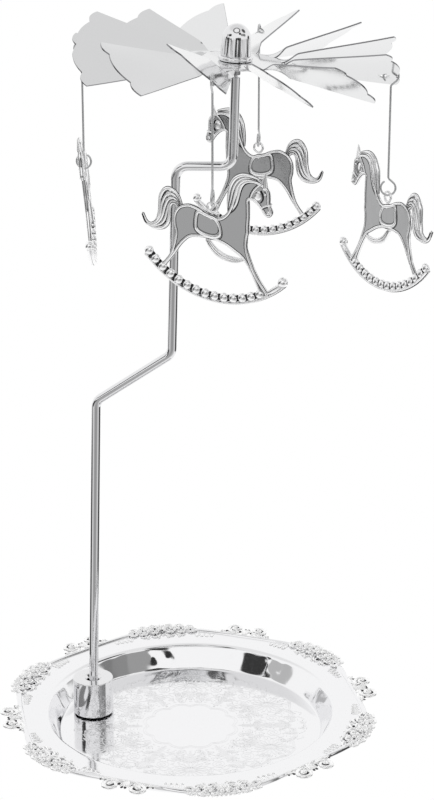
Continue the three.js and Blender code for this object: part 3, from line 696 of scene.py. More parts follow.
# Ornaments of the rim. Points are millimetres along the edge from the ornament's middle, and distance from
# the axis. Buds have a size, spots of painted shade in the hollows a height and a size
BUDS = [(2.0, 49.1, 0.5), (2.1, 46.0, 0.42), (5.5, 48.7, 0.5), (5.6, 45.7, 0.42), (8.9, 47.4, 0.5),
        (9.7, 46.8, 0.38)]
BUD_HEIGHT = 7.9
SEEDS = [(1.5, 43.2), (4.9, 43.3), (-1.5, 43.2), (-4.9, 43.3), (0, 44.4)]
SEED_HEIGHT = 7.35
FRINGE_HEIGHT = 7.36
# Curled leaves as points, thickness and height
FLOWER_CURLS = [
    ([(0.8, 49.0), (1.7, 49.9), (2.9, 49.8), (3.3, 49.0), (2.6, 48.7)], 0.42, 7.9),
    ([(3.6, 48.6), (4.6, 49.7), (5.9, 49.6), (6.2, 48.7), (5.4, 48.5)], 0.42, 7.85),
    ([(6.6, 48.2), (7.6, 49.0), (8.8, 48.7), (9.1, 47.9)], 0.4, 7.8),
    ([(0.9, 46.3), (1.8, 45.3), (3.0, 45.4), (3.2, 46.1)], 0.36, 7.8),
    ([(4.3, 46.0), (5.1, 45.0), (6.3, 45.1), (6.6, 45.9)], 0.34, 7.75),
    ([(7.4, 45.8), (8.4, 45.2), (9.6, 45.7), (10.4, 46.6)], 0.36, 7.7),
    ([(0.4, 45.6), (1.2, 44.2), (2.6, 43.5), (3.6, 44.0)], 0.34, 7.45),
    ([(3.8, 45.4), (4.6, 44.2), (6.0, 43.8), (7.0, 44.3)], 0.32, 7.45),
]
FLOWER_SHADE_SPOTS = [(1.95, 47.5, 8.2, 0.42), (5.6, 47.2, 8.05, 0.36), (0, 46.1, 8.0, 0.36),
                  (3.6, 48.7, 8.0, 0.36), (8.3, 46.5, 7.9, 0.4), (2.3, 44.6, 7.45, 0.4),
                  (5.9, 44.6, 7.45, 0.36), (9.9, 45.9, 7.7, 0.42)]
SCROLL_SHADE_SPOTS = [(3.3, 48.4, 7.9, 1.6), (1.7, 46.9, 7.8, 0.6), (5.6, 46.8, 7.8, 0.5), (0.45, 48.4, 7.9, 0.5),
                  (7.0, 46.7, 7.8, 0.35)]
SCROLL_AT = (3.3, 48.4)
SCROLL_RADIUS = 2.35
SCROLL_STEPS = 40


def on_rim(along, radius, z):
    a = np.asarray(along, float) / RIM_CIRCLE
    return np.stack(np.broadcast_arrays(radius * np.cos(a), radius * np.sin(a), z), -1)


def rosette(shape, along, radius, z, petals, size):
    for k in range(petals):
        a = 2 * math.pi * k / petals + 0.4
        centre = on_rim(along + 1.15 * size * math.sin(a), radius + 1.15 * size * math.cos(a), z)
        shape.ball(centre, (size * 0.95, size * 0.58, size * 0.6), along / RIM_CIRCLE + a, 10)
    shape.ball(on_rim(along, radius, z + 0.35 * size), (size * 0.5, size * 0.5, size * 0.5), 0, 8)


def curl(shape, points, thick, z, thin=0.12):
    """A tapering curved leaf with its mirror image."""
    path = smooth(points, 5)
    for sign in (1, -1):
        line = on_rim(path[:, 0] * sign, path[:, 1], z)
        shape.tube(line, swell(len(line), thin, thick, thin), Z_AXIS, 8, 0.85)


def fringe(shape, along, radius, length):
    """A small U-shaped loop, open towards the edge, with its mirror image."""
    path = smooth([(along - 0.55, radius), (along - 0.5, radius - 0.7 * length), (along, radius - length),
                   (along + 0.5, radius - 0.7 * length), (along + 0.55, radius)], 4)
    for sign in (1, -1):
        shape.tube(on_rim(path[:, 0] * sign, path[:, 1], FRINGE_HEIGHT), 0.16, Z_AXIS, 6)


def specks(places):
    """Flattened dark spots of painted shade in the hollows between the raised parts of an ornament."""
    s = Shape()
    for along, radius, z, size in places:
        for sign in (1, -1) if along else (1,):
            centre = on_rim(along * sign, radius, z)
            s.ball(centre, (size, 0.75 * size, 0.3 * size), along * sign / RIM_CIRCLE, 8)
    return s


def flower_cluster():
    """Rosettes with buds and curled leaves, an edge of small shells and a fringe of loops at both ends."""
    s = Shape()
    rosette(s, 0, 47.7, 8.1, 6, 1.05)
    for sign in (-1, 1):
        rosette(s, 3.9 * sign, 47.3, 7.95, 5, 0.85)
        rosette(s, 7.0 * sign, 46.9, 7.85, 5, 0.62)
        for along, radius, size in BUDS:
            s.ball(on_rim(along * sign, radius, BUD_HEIGHT), (size,) * 3, 0, 8)
    for points, thick, z in FLOWER_CURLS:
        curl(s, points, thick, z)
    for along, radius in SEEDS:
        s.ball(on_rim(along, radius, SEED_HEIGHT), (0.42, 0.55, 0.4), 0, 8)
    for k in range(4):
        fringe(s, 10.4 + 1.5 * k, 45.2 - 0.25 * k, 2.3 - 0.3 * k)
    for k in range(-8, 9):
        along = 1.05 * k
        s.ball(on_rim(along, 49.35 - 0.016 * along**2, 7.55), (0.62, 0.5, 0.5), along / RIM_CIRCLE, 8)
    return s


def scroll_pair():
    """Two facing C-scrolls with a shell of leaves between them."""
    s = Shape()
    out, radius = SCROLL_AT
    for sign in (-1, 1):
        t = np.linspace(0, 1, SCROLL_STEPS)
        a = np.radians(-115 + 560 * t)
        r = SCROLL_RADIUS * (1 - 0.82 * t**0.9)
        line = on_rim(sign * (out + r * np.cos(a)), radius + r * np.sin(a), 7.75 + 0.45 * t)
        s.tube(line, swell(SCROLL_STEPS, 0.5, 0.5, 0.22), Z_AXIS, 10)
        s.ball(on_rim(out * sign, radius, 8.3), (0.55, 0.55, 0.5), 0, 10)
        s.ball(on_rim(6.3 * sign, 46.2, 7.8), (0.55, 0.7, 0.5), 0, 8)
        s.ball(on_rim(7.2 * sign, 46.0, 7.7), (0.4, 0.5, 0.4), 0, 8)
    for along in (-1.1, -0.55, 0, 0.55, 1.1):
        reach = np.linspace(45.2, 48.2 - 0.3 * abs(along), 6)
        s.tube(on_rim(np.linspace(along * 0.3, along, 6), reach, 7.95), swell(6, 0.2, 0.34, 0.2), Z_AXIS, 6)
    curl(s, [(2.3, 46.3), (3.4, 45.5), (5.0, 45.3), (6.6, 45.6)], 0.5, 7.75, thin=0.2)
    curl(s, [(0.6, 45.6), (1.3, 44.9), (2.3, 45.0), (2.4, 45.7)], 0.34, 7.7)
    return s


def plate():
    motifs = (("flowers", flower_cluster(), FLOWER_AZIMUTH, ORNAMENT),
              ("scrolls", scroll_pair(), SCROLL_AZIMUTH, ORNAMENT),
              # Dark spots in the ornaments' hollows: painted shade
              ("flower_hollows", specks(FLOWER_SHADE_SPOTS), FLOWER_AZIMUTH, SOFTER_PAINTED_SHADE),
              ("scroll_hollows", specks(SCROLL_SHADE_SPOTS), SCROLL_AZIMUTH, DEEP_PAINTED_SHADE),
              ("lines", floor_panel(), -90, ENGRAVED))
    rings = [repeated(name, motif, PAIRS, first, 360 / PAIRS, finish)
             for name, motif, first, finish in motifs]
    hand_over(merged("plate_finished", dish(), *rings), "base", "silver_plate", "plate")


plate()


# Foot, magnet, post and needle

low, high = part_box("post_foot")
foot_at = Vector(((low[0] + high[0]) / 2 / MM, (low[1] + high[1]) / 2 / MM, 0))


def rounded(profile, radius, steps=4):
    """A profile with the corners between its ends eased."""
    p = np.asarray(profile, float)
    out = [p[0]]
    for a, b, c in zip(p, p[1:], p[2:]):
        into, away = b - a, c - b
        r = min(radius, np.linalg.norm(into) / 2.5, np.linalg.norm(away) / 2.5)
        start, end = b - unit(into) * r, b + unit(away) * r
        out.append(start - unit(into) * CORNER_LINE)
        for t in np.linspace(0, 1, steps):
            out.append((1 - t) ** 2 * start + 2 * t * (1 - t) * b + t**2 * end)
        out.append(end + unit(away) * CORNER_LINE)
    out.append(p[-1])
    return np.array(out)


foot_place = Matrix.Translation(foot_at)
foot_profile = rounded([(0, SEAT_TOP), (SEAT_RADIUS, SEAT_TOP), (SEAT_RADIUS, FOOT_BASE),
                        (FOOT_RADIUS, FOOT_BASE), (FOOT_RADIUS, FOOT_TOP), (MOUTH_RADIUS, FOOT_TOP),
                        (FOOT_BORE, FOOT_TOP - MOUTH_DEPTH), (FOOT_BORE, BORE_FLOOR), (0, BORE_FLOOR)], 0.22)
foot = turned_piece("foot_finished", foot_profile, foot_place, CHROME)
hand_over(foot, "base", "chrome", "post_foot")

magnet_profile = rounded([(0, MAGNET_BASE), (MAGNET_RADIUS, MAGNET_BASE), (MAGNET_RADIUS, MAGNET_TOP),
                          (0, MAGNET_TOP)], 0.15)
magnet = turned_piece("magnet_finished", magnet_profile, foot_place, MAGNET)
hand_over(magnet, "base", "magnet", "foot_magnet")


def bent(corners, radius, steps=12):
    """Straight runs joined by round bends."""
    p = np.asarray(corners, float)
    path = [p[0]]
    for a, b, c in zip(p, p[1:], p[2:]):
        into, away = unit(b - a), unit(c - b)
        turn = math.acos(np.clip(into @ away, -1, 1))
        back = radius * math.tan(turn / 2)
        middle = b + unit(away - into) * radius / math.cos(turn / 2)
        start = b - into * back - middle
        square = unit(into - start * (into @ start) / (start @ start)) * radius
        for t in np.linspace(0, turn, steps):
            path.append(middle + start * math.cos(t) + square * math.sin(t))
    path.append(p[-1])
    return np.array(path)


post_matrix = (Matrix.Translation(foot_at + Vector((0, 0, POST_BASE)))
               @ Matrix.Rotation(math.radians(POST_AZIMUTH), 4, "Z")
               @ Matrix.Rotation(math.radians(POST_LEAN), 4, "Y"))
post = Shape()
post_path = bent([(x, 0, z) for x, z in POST_CORNERS], BEND_RADIUS)
post_size = np.append(np.full(len(post_path), ROD_RADIUS), ROD_RADIUS - ROD_CHAMFER)
post_path = np.vstack([post_path, post_path[-1] + [0, 0, 0.01]])
post_path[-2] -= [0, 0, ROD_CHAMFER]
post.sweep(post_path, circle(24), Y_AXIS, post_size, round_ends=0)
hand_over(post.moved(post_matrix).object("post_finished", CHROME, sharp=30), "base", "chrome", "post")

needle_profile = rounded([(0, NEEDLE_FOOT), (NEEDLE_RADIUS, NEEDLE_FOOT), (NEEDLE_RADIUS, NEEDLE_SHOULDER),
                          (0, NEEDLE_TIP)], 0.1)
post_top = Matrix.Translation(Vector((POST_CORNERS[-1][0], 0, POST_CORNERS[-1][1])))
needle = turned_piece("needle_finished", needle_profile, post_matrix @ post_top, WIRE, 24, 30)
hand_over(needle, "base", "wire", "pivot_needle")


# Rotor and hub, around the rotor's own axis with the middle of its sheet at height 0

spin = joints["rotor_spin"]
axis = Vector(spin["axis"])
rotor_matrix = (Matrix.Translation(Vector(spin["pos_m"]) / MM)
                @ Matrix.Rotation(math.atan2(-axis.y, axis.z), 4, "X")
                @ Matrix.Rotation(math.asin(axis.x), 4, "Y"))


def blade_matrix(i):
    rise = math.radians(BLADE_RISE + HAND_BEND[i])
    return (Matrix.Rotation(math.radians(BLADE_AZIMUTH + 360 / BLADES * i), 4, "Z")
            @ Matrix.Translation((BLADE_ROOT, 0, 0))
            @ Matrix.Rotation(-rise, 4, "Y")
            @ Matrix.Translation((-BLADE_ROOT, 0, 0)))


def blade_end(t):
    """How far the blade reaches at each place across it: three lobes."""
    notch = BLADE_LENGTH + LOBE_DEPTH / 3
    middle = notch + LOBE_DEPTH * (1 - (t / LOBE_SPLIT) ** 2)
    share = np.clip((np.abs(t) - LOBE_SPLIT) / (1 - LOBE_SPLIT), 0, 1)
    outer = notch + (BLADE_LENGTH - notch) * share + 4 * LOBE_SIDE * LOBE_DEPTH * share * (1 - share)
    return np.where(np.abs(t) < LOBE_SPLIT, middle, outer)


def blade(i):
    t = np.concatenate([np.linspace(-1, -LOBE_SPLIT, 9), np.linspace(-LOBE_SPLIT, LOBE_SPLIT, 17)[1:],
                        np.linspace(LOBE_SPLIT, 1, 9)[1:]])
    s = np.concatenate([np.linspace(0, NECK_SHARE, 16), np.linspace(NECK_SHARE, 1, 16)[1:]])
    radial = BLADE_START + (blade_end(t)[None] - BLADE_START) * s[:, None]
    wide = np.minimum(radial, BLADE_LENGTH) * math.tan(math.radians(BLADE_HALF_ANGLE))
    twist = -math.radians(BLADE_TILT) * smoothstep(radial, BLADE_START, TWIST_END)
    across = t[None] * wide
    cup = -CUP_DEPTH * (t**2)[None] * smoothstep(radial, CUP_START, CUP_END)
    sides = []
    for up in (BLADE_SHEET / 2, -BLADE_SHEET / 2):
        h = cup + up
        sides.append(np.stack([radial, across * np.cos(twist) - h * np.sin(twist),
                               across * np.sin(twist) + h * np.cos(twist)], 2))
    shape = Shape()
    for face in sides:
        shape.grid(face)
    for edge in (np.s_[:, 0], np.s_[:, -1], np.s_[-1], np.s_[0]):
        shape.grid([sides[0][edge], sides[1][edge]], slot=CUT_SLOT)
    return shape.moved(rotor_matrix @ blade_matrix(i)).object(f"blade_{i}", SATIN, CUT_EDGE, sharp=30)


def drilled(piece, side, i):
    """A blade with the hole that its hook passes through."""
    reach = DRILL_REACH
    profile = [(0, -reach), (HOLE_RADIUS, -reach), (HOLE_RADIUS, reach), (0, reach)]
    tilt = Matrix.Rotation(-math.radians(BLADE_TILT), 4, "X")
    place = rotor_matrix @ blade_matrix(i) @ tilt @ Matrix.Translation((*HOLES[side], 0))
    drill = turned_piece("drill", profile, place, SATIN, 20)
    cut = piece.modifiers.new("hole", "BOOLEAN")
    cut.operation = "DIFFERENCE"
    cut.solver = "EXACT"
    cut.object = drill
    baked(piece)
    bpy.data.objects.remove(drill)
    return piece


def rotor():
    half = DISC_SHEET / 2
    chamfer = DISC_RADIUS - DISC_CHAMFER
    profile = [(HUB_SOCKET, half), (6, half), (chamfer, half), (DISC_RADIUS, half - DISC_CHAMFER),
               (DISC_RADIUS, DISC_CHAMFER - half), (chamfer, -half), (HUB_SOCKET, -half), (HUB_SOCKET, half)]
    disc = turned_piece("disc", profile, rotor_matrix, SATIN, 96, 30)
    blades = [blade(i) for i in range(BLADES)]
    for side, i in HOOK_BLADES.items():
        drilled(blades[i], side, i)
    hand_over(merged("rotor_finished", disc, *blades), "rotor", "satin_sheet", "rotor")


rotor()

cap = arc_points((0, DOME_SHOULDER), (DOME_RADIUS, DOME_RISE), 0, 90, 14)
brim = arc_points(BRIM_CENTRE, BRIM_RADII, -90, 90, 9)
socket = [(HUB_SOCKET, BRIM_BASE)]
dome_profile = socket + brim + DOME_GROOVE + cap + DOME_INSIDE + socket
dome = turned_piece("dome_finished", dome_profile, rotor_matrix, CHROME, sharp=40)
hand_over(dome, "rotor", "chrome", "dome_cap")

bush = turned_piece("bush_finished", rounded(BUSH_PROFILE, 0.12), rotor_matrix, STEEL)
hand_over(bush, "rotor", "chrome", "hub_bush")


# Hooks: two open loops joined by a straight wire, in the upright plane through the rotor's axis

def hook(side):
    swing, rock = joints["hook_swing_" + side], joints["horse_rock_" + side]
    lower = LOOP_RADIUS - (swing["pos_m"][2] - rock["pos_m"][2]) / MM
    leave, straight = (share * LOOP_RADIUS for share in SHANK)
    aside = 0.1 * LOOP_RADIUS
    shank = [(aside, lower + leave), (0, lower + straight), (0, -straight), (aside, -leave)]
    radii = (LOOP_RADIUS, LOOP_RADIUS)
    path = arc_points((0, lower), radii, *LOWER_LOOP) + shank + arc_points((0, 0), radii, *UPPER_LOOP)
    wire = Shape()
    wire.tube(flat(path), WIRE_RADIUS, Y_AXIS, 10)
    outward = math.atan2(swing["axis"][0], -swing["axis"][1])
    place = Matrix.Translation(Vector(swing["pos_m"]) / MM) @ Matrix.Rotation(outward, 4, "Z")
    hand_over(wire.moved(place).object(f"hook_{side}_finished", WIRE), "hook_" + side, "wire", "hook_" + side)


for wire_side in SIDES:
    hook(wire_side)


# Rocking horse, nose to +X and upright along Z around the eye that the wire passes through

def on_rocker(degrees, radius):
    a = np.radians(degrees)
    return ROCKER_CENTRE + radius * np.stack([np.cos(a), np.sin(a)], -1)


# Outlines of the casting and of what stands on it
BODY = [(-9.9, -5.0), (-9.7, -3.6), (-9.1, -2.4), (-8.1, -1.4), (-6.2, -0.6), (-4.4, -0.7), (-2.7, -1.1),
        (-1.4, -1.7), (0.3, -2.1), (2.1, -1.9), (3.6, -0.6), (4.5, 1.2), (5.0, 3.0), (5.6, 5.2), (6.6, 7.4),
        (8.4, 8.9), (10.4, 9.3), (12.2, 8.9), (13.6, 8.2), (14.2, 7.2), (14.4, 5.9), (14.5, 4.6),
        (15.0, 3.5), (15.3, 2.5), (14.95, 1.6), (14.1, 1.2), (13.2, 1.6), (12.3, 2.7), (11.3, 3.6),
        (10.2, 4.2), (9.3, 4.1), (9.4, 2.6), (9.6, 0.0), (9.6, -2.3), (9.7, -3.8), (9.5, -5.4), (9.6, -7.6),
        (10.3, -9.5), (11.8, -12.4), (13.6, -15.0), (15.9, -17.8), (14.5, -18.8), (13.3, -17.6),
        (11.4, -14.3), (9.6, -11.7), (8.2, -10.3), (6.6, -9.5), (4.4, -8.5), (2.5, -8.0), (0.6, -7.8),
        (-1.3, -7.9), (-3.7, -8.3), (-5.3, -8.9), (-6.8, -10.5), (-7.8, -12.0), (-8.6, -13.5),
        (-9.6, -15.1), (-10.8, -16.9), (-12.3, -19.2), (-13.4, -18.5), (-11.7, -16.4), (-10.4, -14.3),
        (-9.7, -12.0), (-9.3, -9.9), (-9.2, -8.3), (-9.7, -6.7)]
MANE_OUTER = [(11.3, 9.6), (9.8, 9.8), (8.1, 9.9), (6.6, 9.4), (5.3, 8.3), (4.4, 6.4), (4.1, 4.3),
              (4.0, 2.2), (4.1, 0.4)]
MANE_INNER = [(11.0, 8.9), (9.4, 8.7), (8.1, 8.2), (7.2, 7.3), (6.7, 6.0), (6.4, 4.4), (6.0, 2.6),
              (5.3, 1.1), (4.2, -0.1)]
TAIL_OUTER = [(-8.0, -1.1), (-9.0, 0.7), (-10.2, 1.6), (-11.6, 1.8), (-12.7, 1.0), (-13.5, -0.8),
              (-13.6, -2.7), (-13.6, -4.6), (-14.1, -6.8), (-15.2, -8.0), (-16.3, -8.2), (-17.1, -7.6),
              (-18.0, -6.1)]
TAIL_INNER = [(-8.6, -2.1), (-9.2, -1.6), (-10.0, -1.4), (-10.7, -1.9), (-11.0, -3.0), (-11.0, -4.2),
              (-11.1, -5.4), (-11.4, -6.8), (-12.3, -8.0), (-13.7, -8.6), (-15.7, -8.7), (-17.2, -8.0),
              (-18.1, -6.3)]
SADDLE = [(-3.8, -1.4), (-4.4, -4.0), (-4.3, -6.0), (-3.3, -7.1), (-1.4, -7.7), (1.1, -7.6), (2.7, -6.9),
          (3.0, -5.5), (2.4, -3.5), (1.3, -2.2), (-1.2, -1.8)]
SEAT = [(-3.1, -2.3), (-3.4, -4.1), (-3.3, -5.5), (-2.4, -6.2), (-0.4, -6.5), (1.3, -6.2), (2.0, -5.4),
        (1.8, -4.0), (0.9, -2.9), (-1.2, -2.5)]
STRAP_OUTER = [(-1.2, -8.3), (0.1, -10.1), (1.8, -11.4), (4.0, -12.0), (5.9, -12.1), (7.5, -11.7),
               (8.9, -10.9)]
STRAP_INNER = [(0.0, -8.3), (1.7, -9.8), (3.7, -10.7), (5.8, -10.9), (7.7, -10.7), (8.7, -10.4)]


def plaque(shape, outline, half):
    """A flat casting with eased edges, which are painted dark as shade, and a side between them painted
    bright as highlight.
    """
    ease = EASED_EDGE
    rows = [flat(inset(outline, d), n) for d, n in ((ease, -half), (0.05, 0.06 - half), (0, ease - half),
                                                    (0, half - ease), (0.05, half - 0.06), (ease, half))]
    for part, slot in ((rows[:3], EDGE_SHADE_SLOT), (rows[2:4], HIGHLIGHT_SLOT), (rows[3:], EDGE_SHADE_SLOT)):
        shape.grid(part, close_columns=True, slot=slot)
    for row in (rows[0], rows[-1]):
        shape.add(row, [tuple(range(len(row)))], soft=False)


def ridge(shape, points, radius, height=FACE, closed=False, squash=0.7):
    """A raised line on both faces."""
    for sign in (-1, 1):
        shape.tube(flat(points, sign * height), radius, Y_AXIS, 8, squash, closed)


def painted_shade(shape, points, height=FACE, width=0.06, closed=False):
    """A thin strip of painted shade in the hollow beside a raised line, on both faces."""
    p = np.asarray(points, float)
    along = unit(np.roll(p, -1, 0) - np.roll(p, 1, 0) if closed else np.gradient(p, axis=0))
    aside = width * np.stack([-along[:, 1], along[:, 0]], 1)
    for sign in (-1, 1):
        edges = [flat(p + offset, sign * (height + SHADE_LIFT)) for offset in (-aside, aside)]
        shape.grid(edges, close_columns=closed, slot=SHADE_SLOT)


def strands(shape, outer, inner, count, thick):
    """Combed hair between two edges, standing proud of both faces."""
    a, b = evenly(smooth(outer), HAIR_STEPS), evenly(smooth(inner), HAIR_STEPS)
    for k in range(count):
        share = k / (count - 1)
        path = (1 - share) * a + share * b
        size = swell(HAIR_STEPS, 0.16, thick, 0.14)
        shape.tube(flat(path), size, Y_AXIS, 10, HAIR / thick * (1 - 0.14 * (k % 2)))
        # The outermost strands get a rim of painted shade
        if k in (0, count - 1):
            rim = Shape()
            rim.tube(flat(path), size + HAIR_RIM, Y_AXIS, 8, HAIR_RIM / (thick + HAIR_RIM))
            shape.add(rim.points, rim.faces, slot=EDGE_SHADE_SLOT)
        # Between strands, a line of painted shade
        if k:
            painted_shade(shape, path + (a - b) / (2 * count - 2), 0.62 * HAIR, 0.08)


# Head: raised lines of forehead, jaw and noseband as points, radius and height, rounds of cheek, eye and
# nostril as centre, radii and steps, and lines of painted shade as points, height and width
HEAD_RIDGES = [([(12.8, 8.3), (13.6, 7.4), (13.9, 6.0), (14.0, 4.7), (14.5, 3.5), (14.7, 2.5)], 0.32, FACE),
               ([(9.7, 4.6), (10.6, 4.7), (11.6, 4.0), (12.6, 3.0), (13.4, 2.1)], 0.26, FACE),
               ([(14.5, 4.3), (13.6, 4.0), (12.5, 3.2)], 0.24, 0.5)]
HEAD_ROUNDS = [((11.4, 0.4, 5.9), (0.95, 0.26, 1.2), 14), ((13.2, 0.44, 6.6), (0.36, 0.22, 0.3), 10),
               ((14.3, 0.42, 2.3), (0.55, 0.2, 0.6), 10)]
HEAD_SHADE_LINES = [([(12.0, 7.2), (12.6, 6.3), (12.7, 5.2), (12.2, 4.3)], 0.5, 0.14),
                ([(12.9, 7.2), (13.5, 6.9), (13.6, 6.2)], 0.5, 0.08),
                ([(14.3, 3.8), (13.5, 3.4), (12.8, 2.9)], 0.5, 0.08),
                ([(15.0, 2.0), (14.3, 1.9), (13.7, 2.0)], 0.6, 0.06)]
THROAT = [(11.4, 8.7), (10.4, 7.6), (9.6, 6.2), (9.1, 4.5)]
EAR = [(12.9, 8.0), (12.85, 9.2), (12.8, 10.4), (12.75, 11.4)]
EAR_LOBE = [(12.1, 8.4), (12.2, 9.6), (12.6, 11.1)]


def horse_head(shape):
    for points, radius, height in HEAD_RIDGES:
        ridge(shape, smooth(points), radius, height)
    for (x, n, z), radii, steps in HEAD_ROUNDS:
        for sign in (-1, 1):
            shape.ball((x, sign * n, z), radii, 0, steps)
    throat = smooth(THROAT)
    # Strips of painted shade along the throat and in the head's hollows
    painted_shade(shape, throat, width=0.11)
    ridge(shape, throat + [0.34, -0.1], 0.22)
    for points, height, width in HEAD_SHADE_LINES:
        painted_shade(shape, smooth(points), height, width)
    for points, base, tip, sides, squash in ((EAR, 0.7, 0.1, 10, 0.9), (EAR_LOBE, 0.3, 0.12, 8, 2.2)):
        path = smooth(points, 5)
        shape.tube(flat(path), np.linspace(base, tip, len(path)), Y_AXIS, sides, squash)


def horse_shape():
    s = Shape()
    outline = smooth(BODY, 4, closed=True)
    plaque(s, outline, FACE)
    # Raised lines, hair, head, eye, girth, rail and leaf take the brighter copy of the cast metal: painted
    # highlight
    s.finish = HIGHLIGHT_SLOT
    ridge(s, inset(outline, 0.42), 0.3, closed=True, squash=0.62)
    # Strips of painted shade inside the border and along the mane
    painted_shade(s, inset(outline, 0.74), width=0.1, closed=True)
    painted_shade(s, evenly(smooth(MANE_INNER), HAIR_STEPS)[8:] + [0.5, -0.1], width=0.14)
    strands(s, MANE_OUTER, MANE_INNER, 4, 0.5)
    strands(s, TAIL_OUTER, TAIL_INNER, 5, 0.46)
    horse_head(s)
    # Saddle with a broad border, and the girth below it
    saddle = smooth(SADDLE, 4, closed=True)
    seat = smooth(SEAT, 4, closed=True)
    s.finish = FLANK_SLOT
    plaque(s, saddle, SADDLE_FACE)
    s.finish = HIGHLIGHT_SLOT
    ridge(s, (evenly(saddle, 60) + evenly(seat, 60)) / 2, 0.4, SADDLE_FACE, closed=True, squash=0.55)
    # Painted shade round the saddle and its seat
    painted_shade(s, inset(saddle, -0.08), width=0.08, closed=True)
    painted_shade(s, seat, SADDLE_FACE, 0.08, closed=True)
    outer, inner = evenly(smooth(STRAP_OUTER), 30), evenly(smooth(STRAP_INNER), 30)
    for share, size in ((0.1, 0.3), (0.48, 0.28), (0.86, 0.26)):
        s.tube(flat((1 - share) * outer + share * inner), swell(30, 0.2, size, 0.2), Y_AXIS, 8, 0.5 / size)
    # Painted shade between the girth's straps
    for share in (0.29, 0.67):
        painted_shade(s, (1 - share) * outer + share * inner, 0.3, 0.1)
    # Eye and its neck
    s.tube(flat(EYE_RADIUS * circle(28)), EYE_WIRE, Y_AXIS, 10, closed=True)
    s.tube(flat([(0, -1.3), (0, -1.9), (0, -2.6)]), [EYE_WIRE, 0.34, 0.5], Y_AXIS, 10)
    # Rail of the rocker, and at its nose end a leaf and a ball
    rail = np.linspace(ROCKER_START + 2.6, ROCKER_END, 60)
    s.sweep(flat(on_rocker(rail, ROCKER_RADIUS - 0.35)), RAIL_SECTION, Y_AXIS, round_ends=0)
    # A web of painted shade behind the beads, and a strip of it along the rail's outer edge
    painted_shade(s, on_rocker(np.linspace(ROCKER_START + 1, -55, 48), BEAD_CIRCLE), 0.3, 0.7)
    painted_shade(s, on_rocker(rail, ROCKER_RADIUS - 0.1), 0, 0.12)
    leaf = on_rocker(np.linspace(-53.5, ROCKER_END - 2, 12), LEAF_CIRCLE)
    s.tube(flat(leaf), swell(12, 0.3, 0.72, 0.5), Y_AXIS, 12, 0.9)
    tip = on_rocker(ROCKER_END, TIP_CIRCLE)
    s.ball((tip[0], 0, tip[1]), (1.22, 1.1, 1.22), 0, 20)
    return s


def rocker_beads():
    """Round beads along the rail, turned from the plane of the repeat into the horse's plane."""
    bead = Shape()
    bead.ball((BEAD_CIRCLE, 0, 0), (1.2, 1.15, 0.8), 0, 16)
    pitch = math.degrees(BEAD_PITCH / BEAD_CIRCLE)
    # The beads take the brighter copy of the cast metal: painted highlight
    piece = repeated("beads", bead, BEADS, ROCKER_START + pitch / 2, pitch, PAINTED_HIGHLIGHT)
    x, z = ROCKER_CENTRE * MM
    piece.data.transform(Matrix(((1, 0, 0, x), (0, 0, -1, 0), (0, 1, 0, z), (0, 0, 0, 1))))
    return piece


def horses():
    # Finishes in slot order: the face, painted shade in hollows, painted highlight on raised parts, painted
    # shade on edges
    body = merged("horse", horse_shape().object("casting", CAST, DEEP_PAINTED_SHADE, PAINTED_HIGHLIGHT, SOFTER_PAINTED_SHADE), rocker_beads())
    for side in SIDES:
        rock = joints["horse_rock_" + side]
        normal = rock["axis"]
        place = (Matrix.Translation(Vector(rock["pos_m"]) - Vector((0, 0, EYE_SAG * MM)))
                 @ Matrix.Rotation(math.atan2(normal[0], -normal[1]), 4, "Z")
                 @ Matrix.Rotation(-math.asin(normal[2]), 4, "X")
                 @ Matrix.Rotation(-math.radians(HORSE_TILTS[side]), 4, "Y"))
        data = body.data.copy()
        data.transform(place)
        hand_over(placed(f"horse_{side}_finished", data), "horse_" + side, "cast_silver", "horse_" + side)
    bpy.data.objects.remove(body)


horses()


# Surroundings

def direction(azimuth, elevation):
    a, e = math.radians(azimuth), math.radians(elevation)
    return (math.cos(e) * math.cos(a), math.cos(e) * math.sin(a), math.sin(e))


# The studio as the metal sees it: white, with bands below the horizon whose brightness changes from the
# camera's side (-1) to the far side (+1), each with the heights between which it takes over, and patches of
# azimuth, elevation, half width, soft edge and brightness
HIGH_BAND = [(-0.95, 0.36), (-0.75, 0.52), (-0.55, 0.74), (-0.38, 0.77), (-0.10, 0.70), (0.14, 0.12),
             (0.26, 0.16), (0.46, 1.0), (0.95, 1.0)]
LOW_BAND = [(-0.95, 0.34), (-0.78, 0.46), (-0.55, 0.76), (-0.32, 0.76), (-0.14, 0.12), (0.60, 0.10),
            (0.76, 1.0), (0.95, 1.0)]
DEEP_BAND = [(-0.95, 0.36), (-0.60, 0.62), (-0.37, 0.77), (-0.10, 1.0), (0.95, 1.0)]
GROUND = [(-0.95, 1.0), (0.95, 1.0)]
BANDS = [(HIGH_BAND, -0.01, -0.09), (LOW_BAND, -0.27, -0.32), (DEEP_BAND, -0.45, -0.52),
         (GROUND, -0.66, -0.80)]
PATCHES = [
    # Soft grey overhead, in the blades on the left
    (62, 82, 34, 18, 0.84),
    # Dark stripes in the sides of the dome
    (-137, -2, 5, 3, 0.05),
    (-91, 0, 7, 3, 0.05),
    (-78, 1, 8, 3, 0.04),
    (-64, 0, 7, 3, 0.06),
    (182, -3, 11, 3, 0.08),
    (203, -3, 10, 3, 0.08),
    (18, -4, 11, 3, 0.05),
    # Grey and black blocks in the plate's wall and on the curve above it
    (187, 18, 7, 2, 0.5),
    (204, 22, 6, 3, 0.04),
    (215, 25, 7, 3, 0.04),
    (-58, 38, 8, 2, 0.03),
    (-18, 20, 7, 3, 0.22),
    (-31, 24, 7, 3, 0.27),
    (-44, 27, 7, 3, 0.34),
    (-2, 44, 11, 5, 0.10),
    # Ring round the highlight on top of the dome
    (-90, 68, 23, 3, 0.08),
    (-90, 68, 16, 3, 1.0),
]


def fresh_nodes(owner):
    owner.use_nodes = True
    owner.node_tree.nodes.clear()
    return owner.node_tree.nodes.new, owner.node_tree.links.new


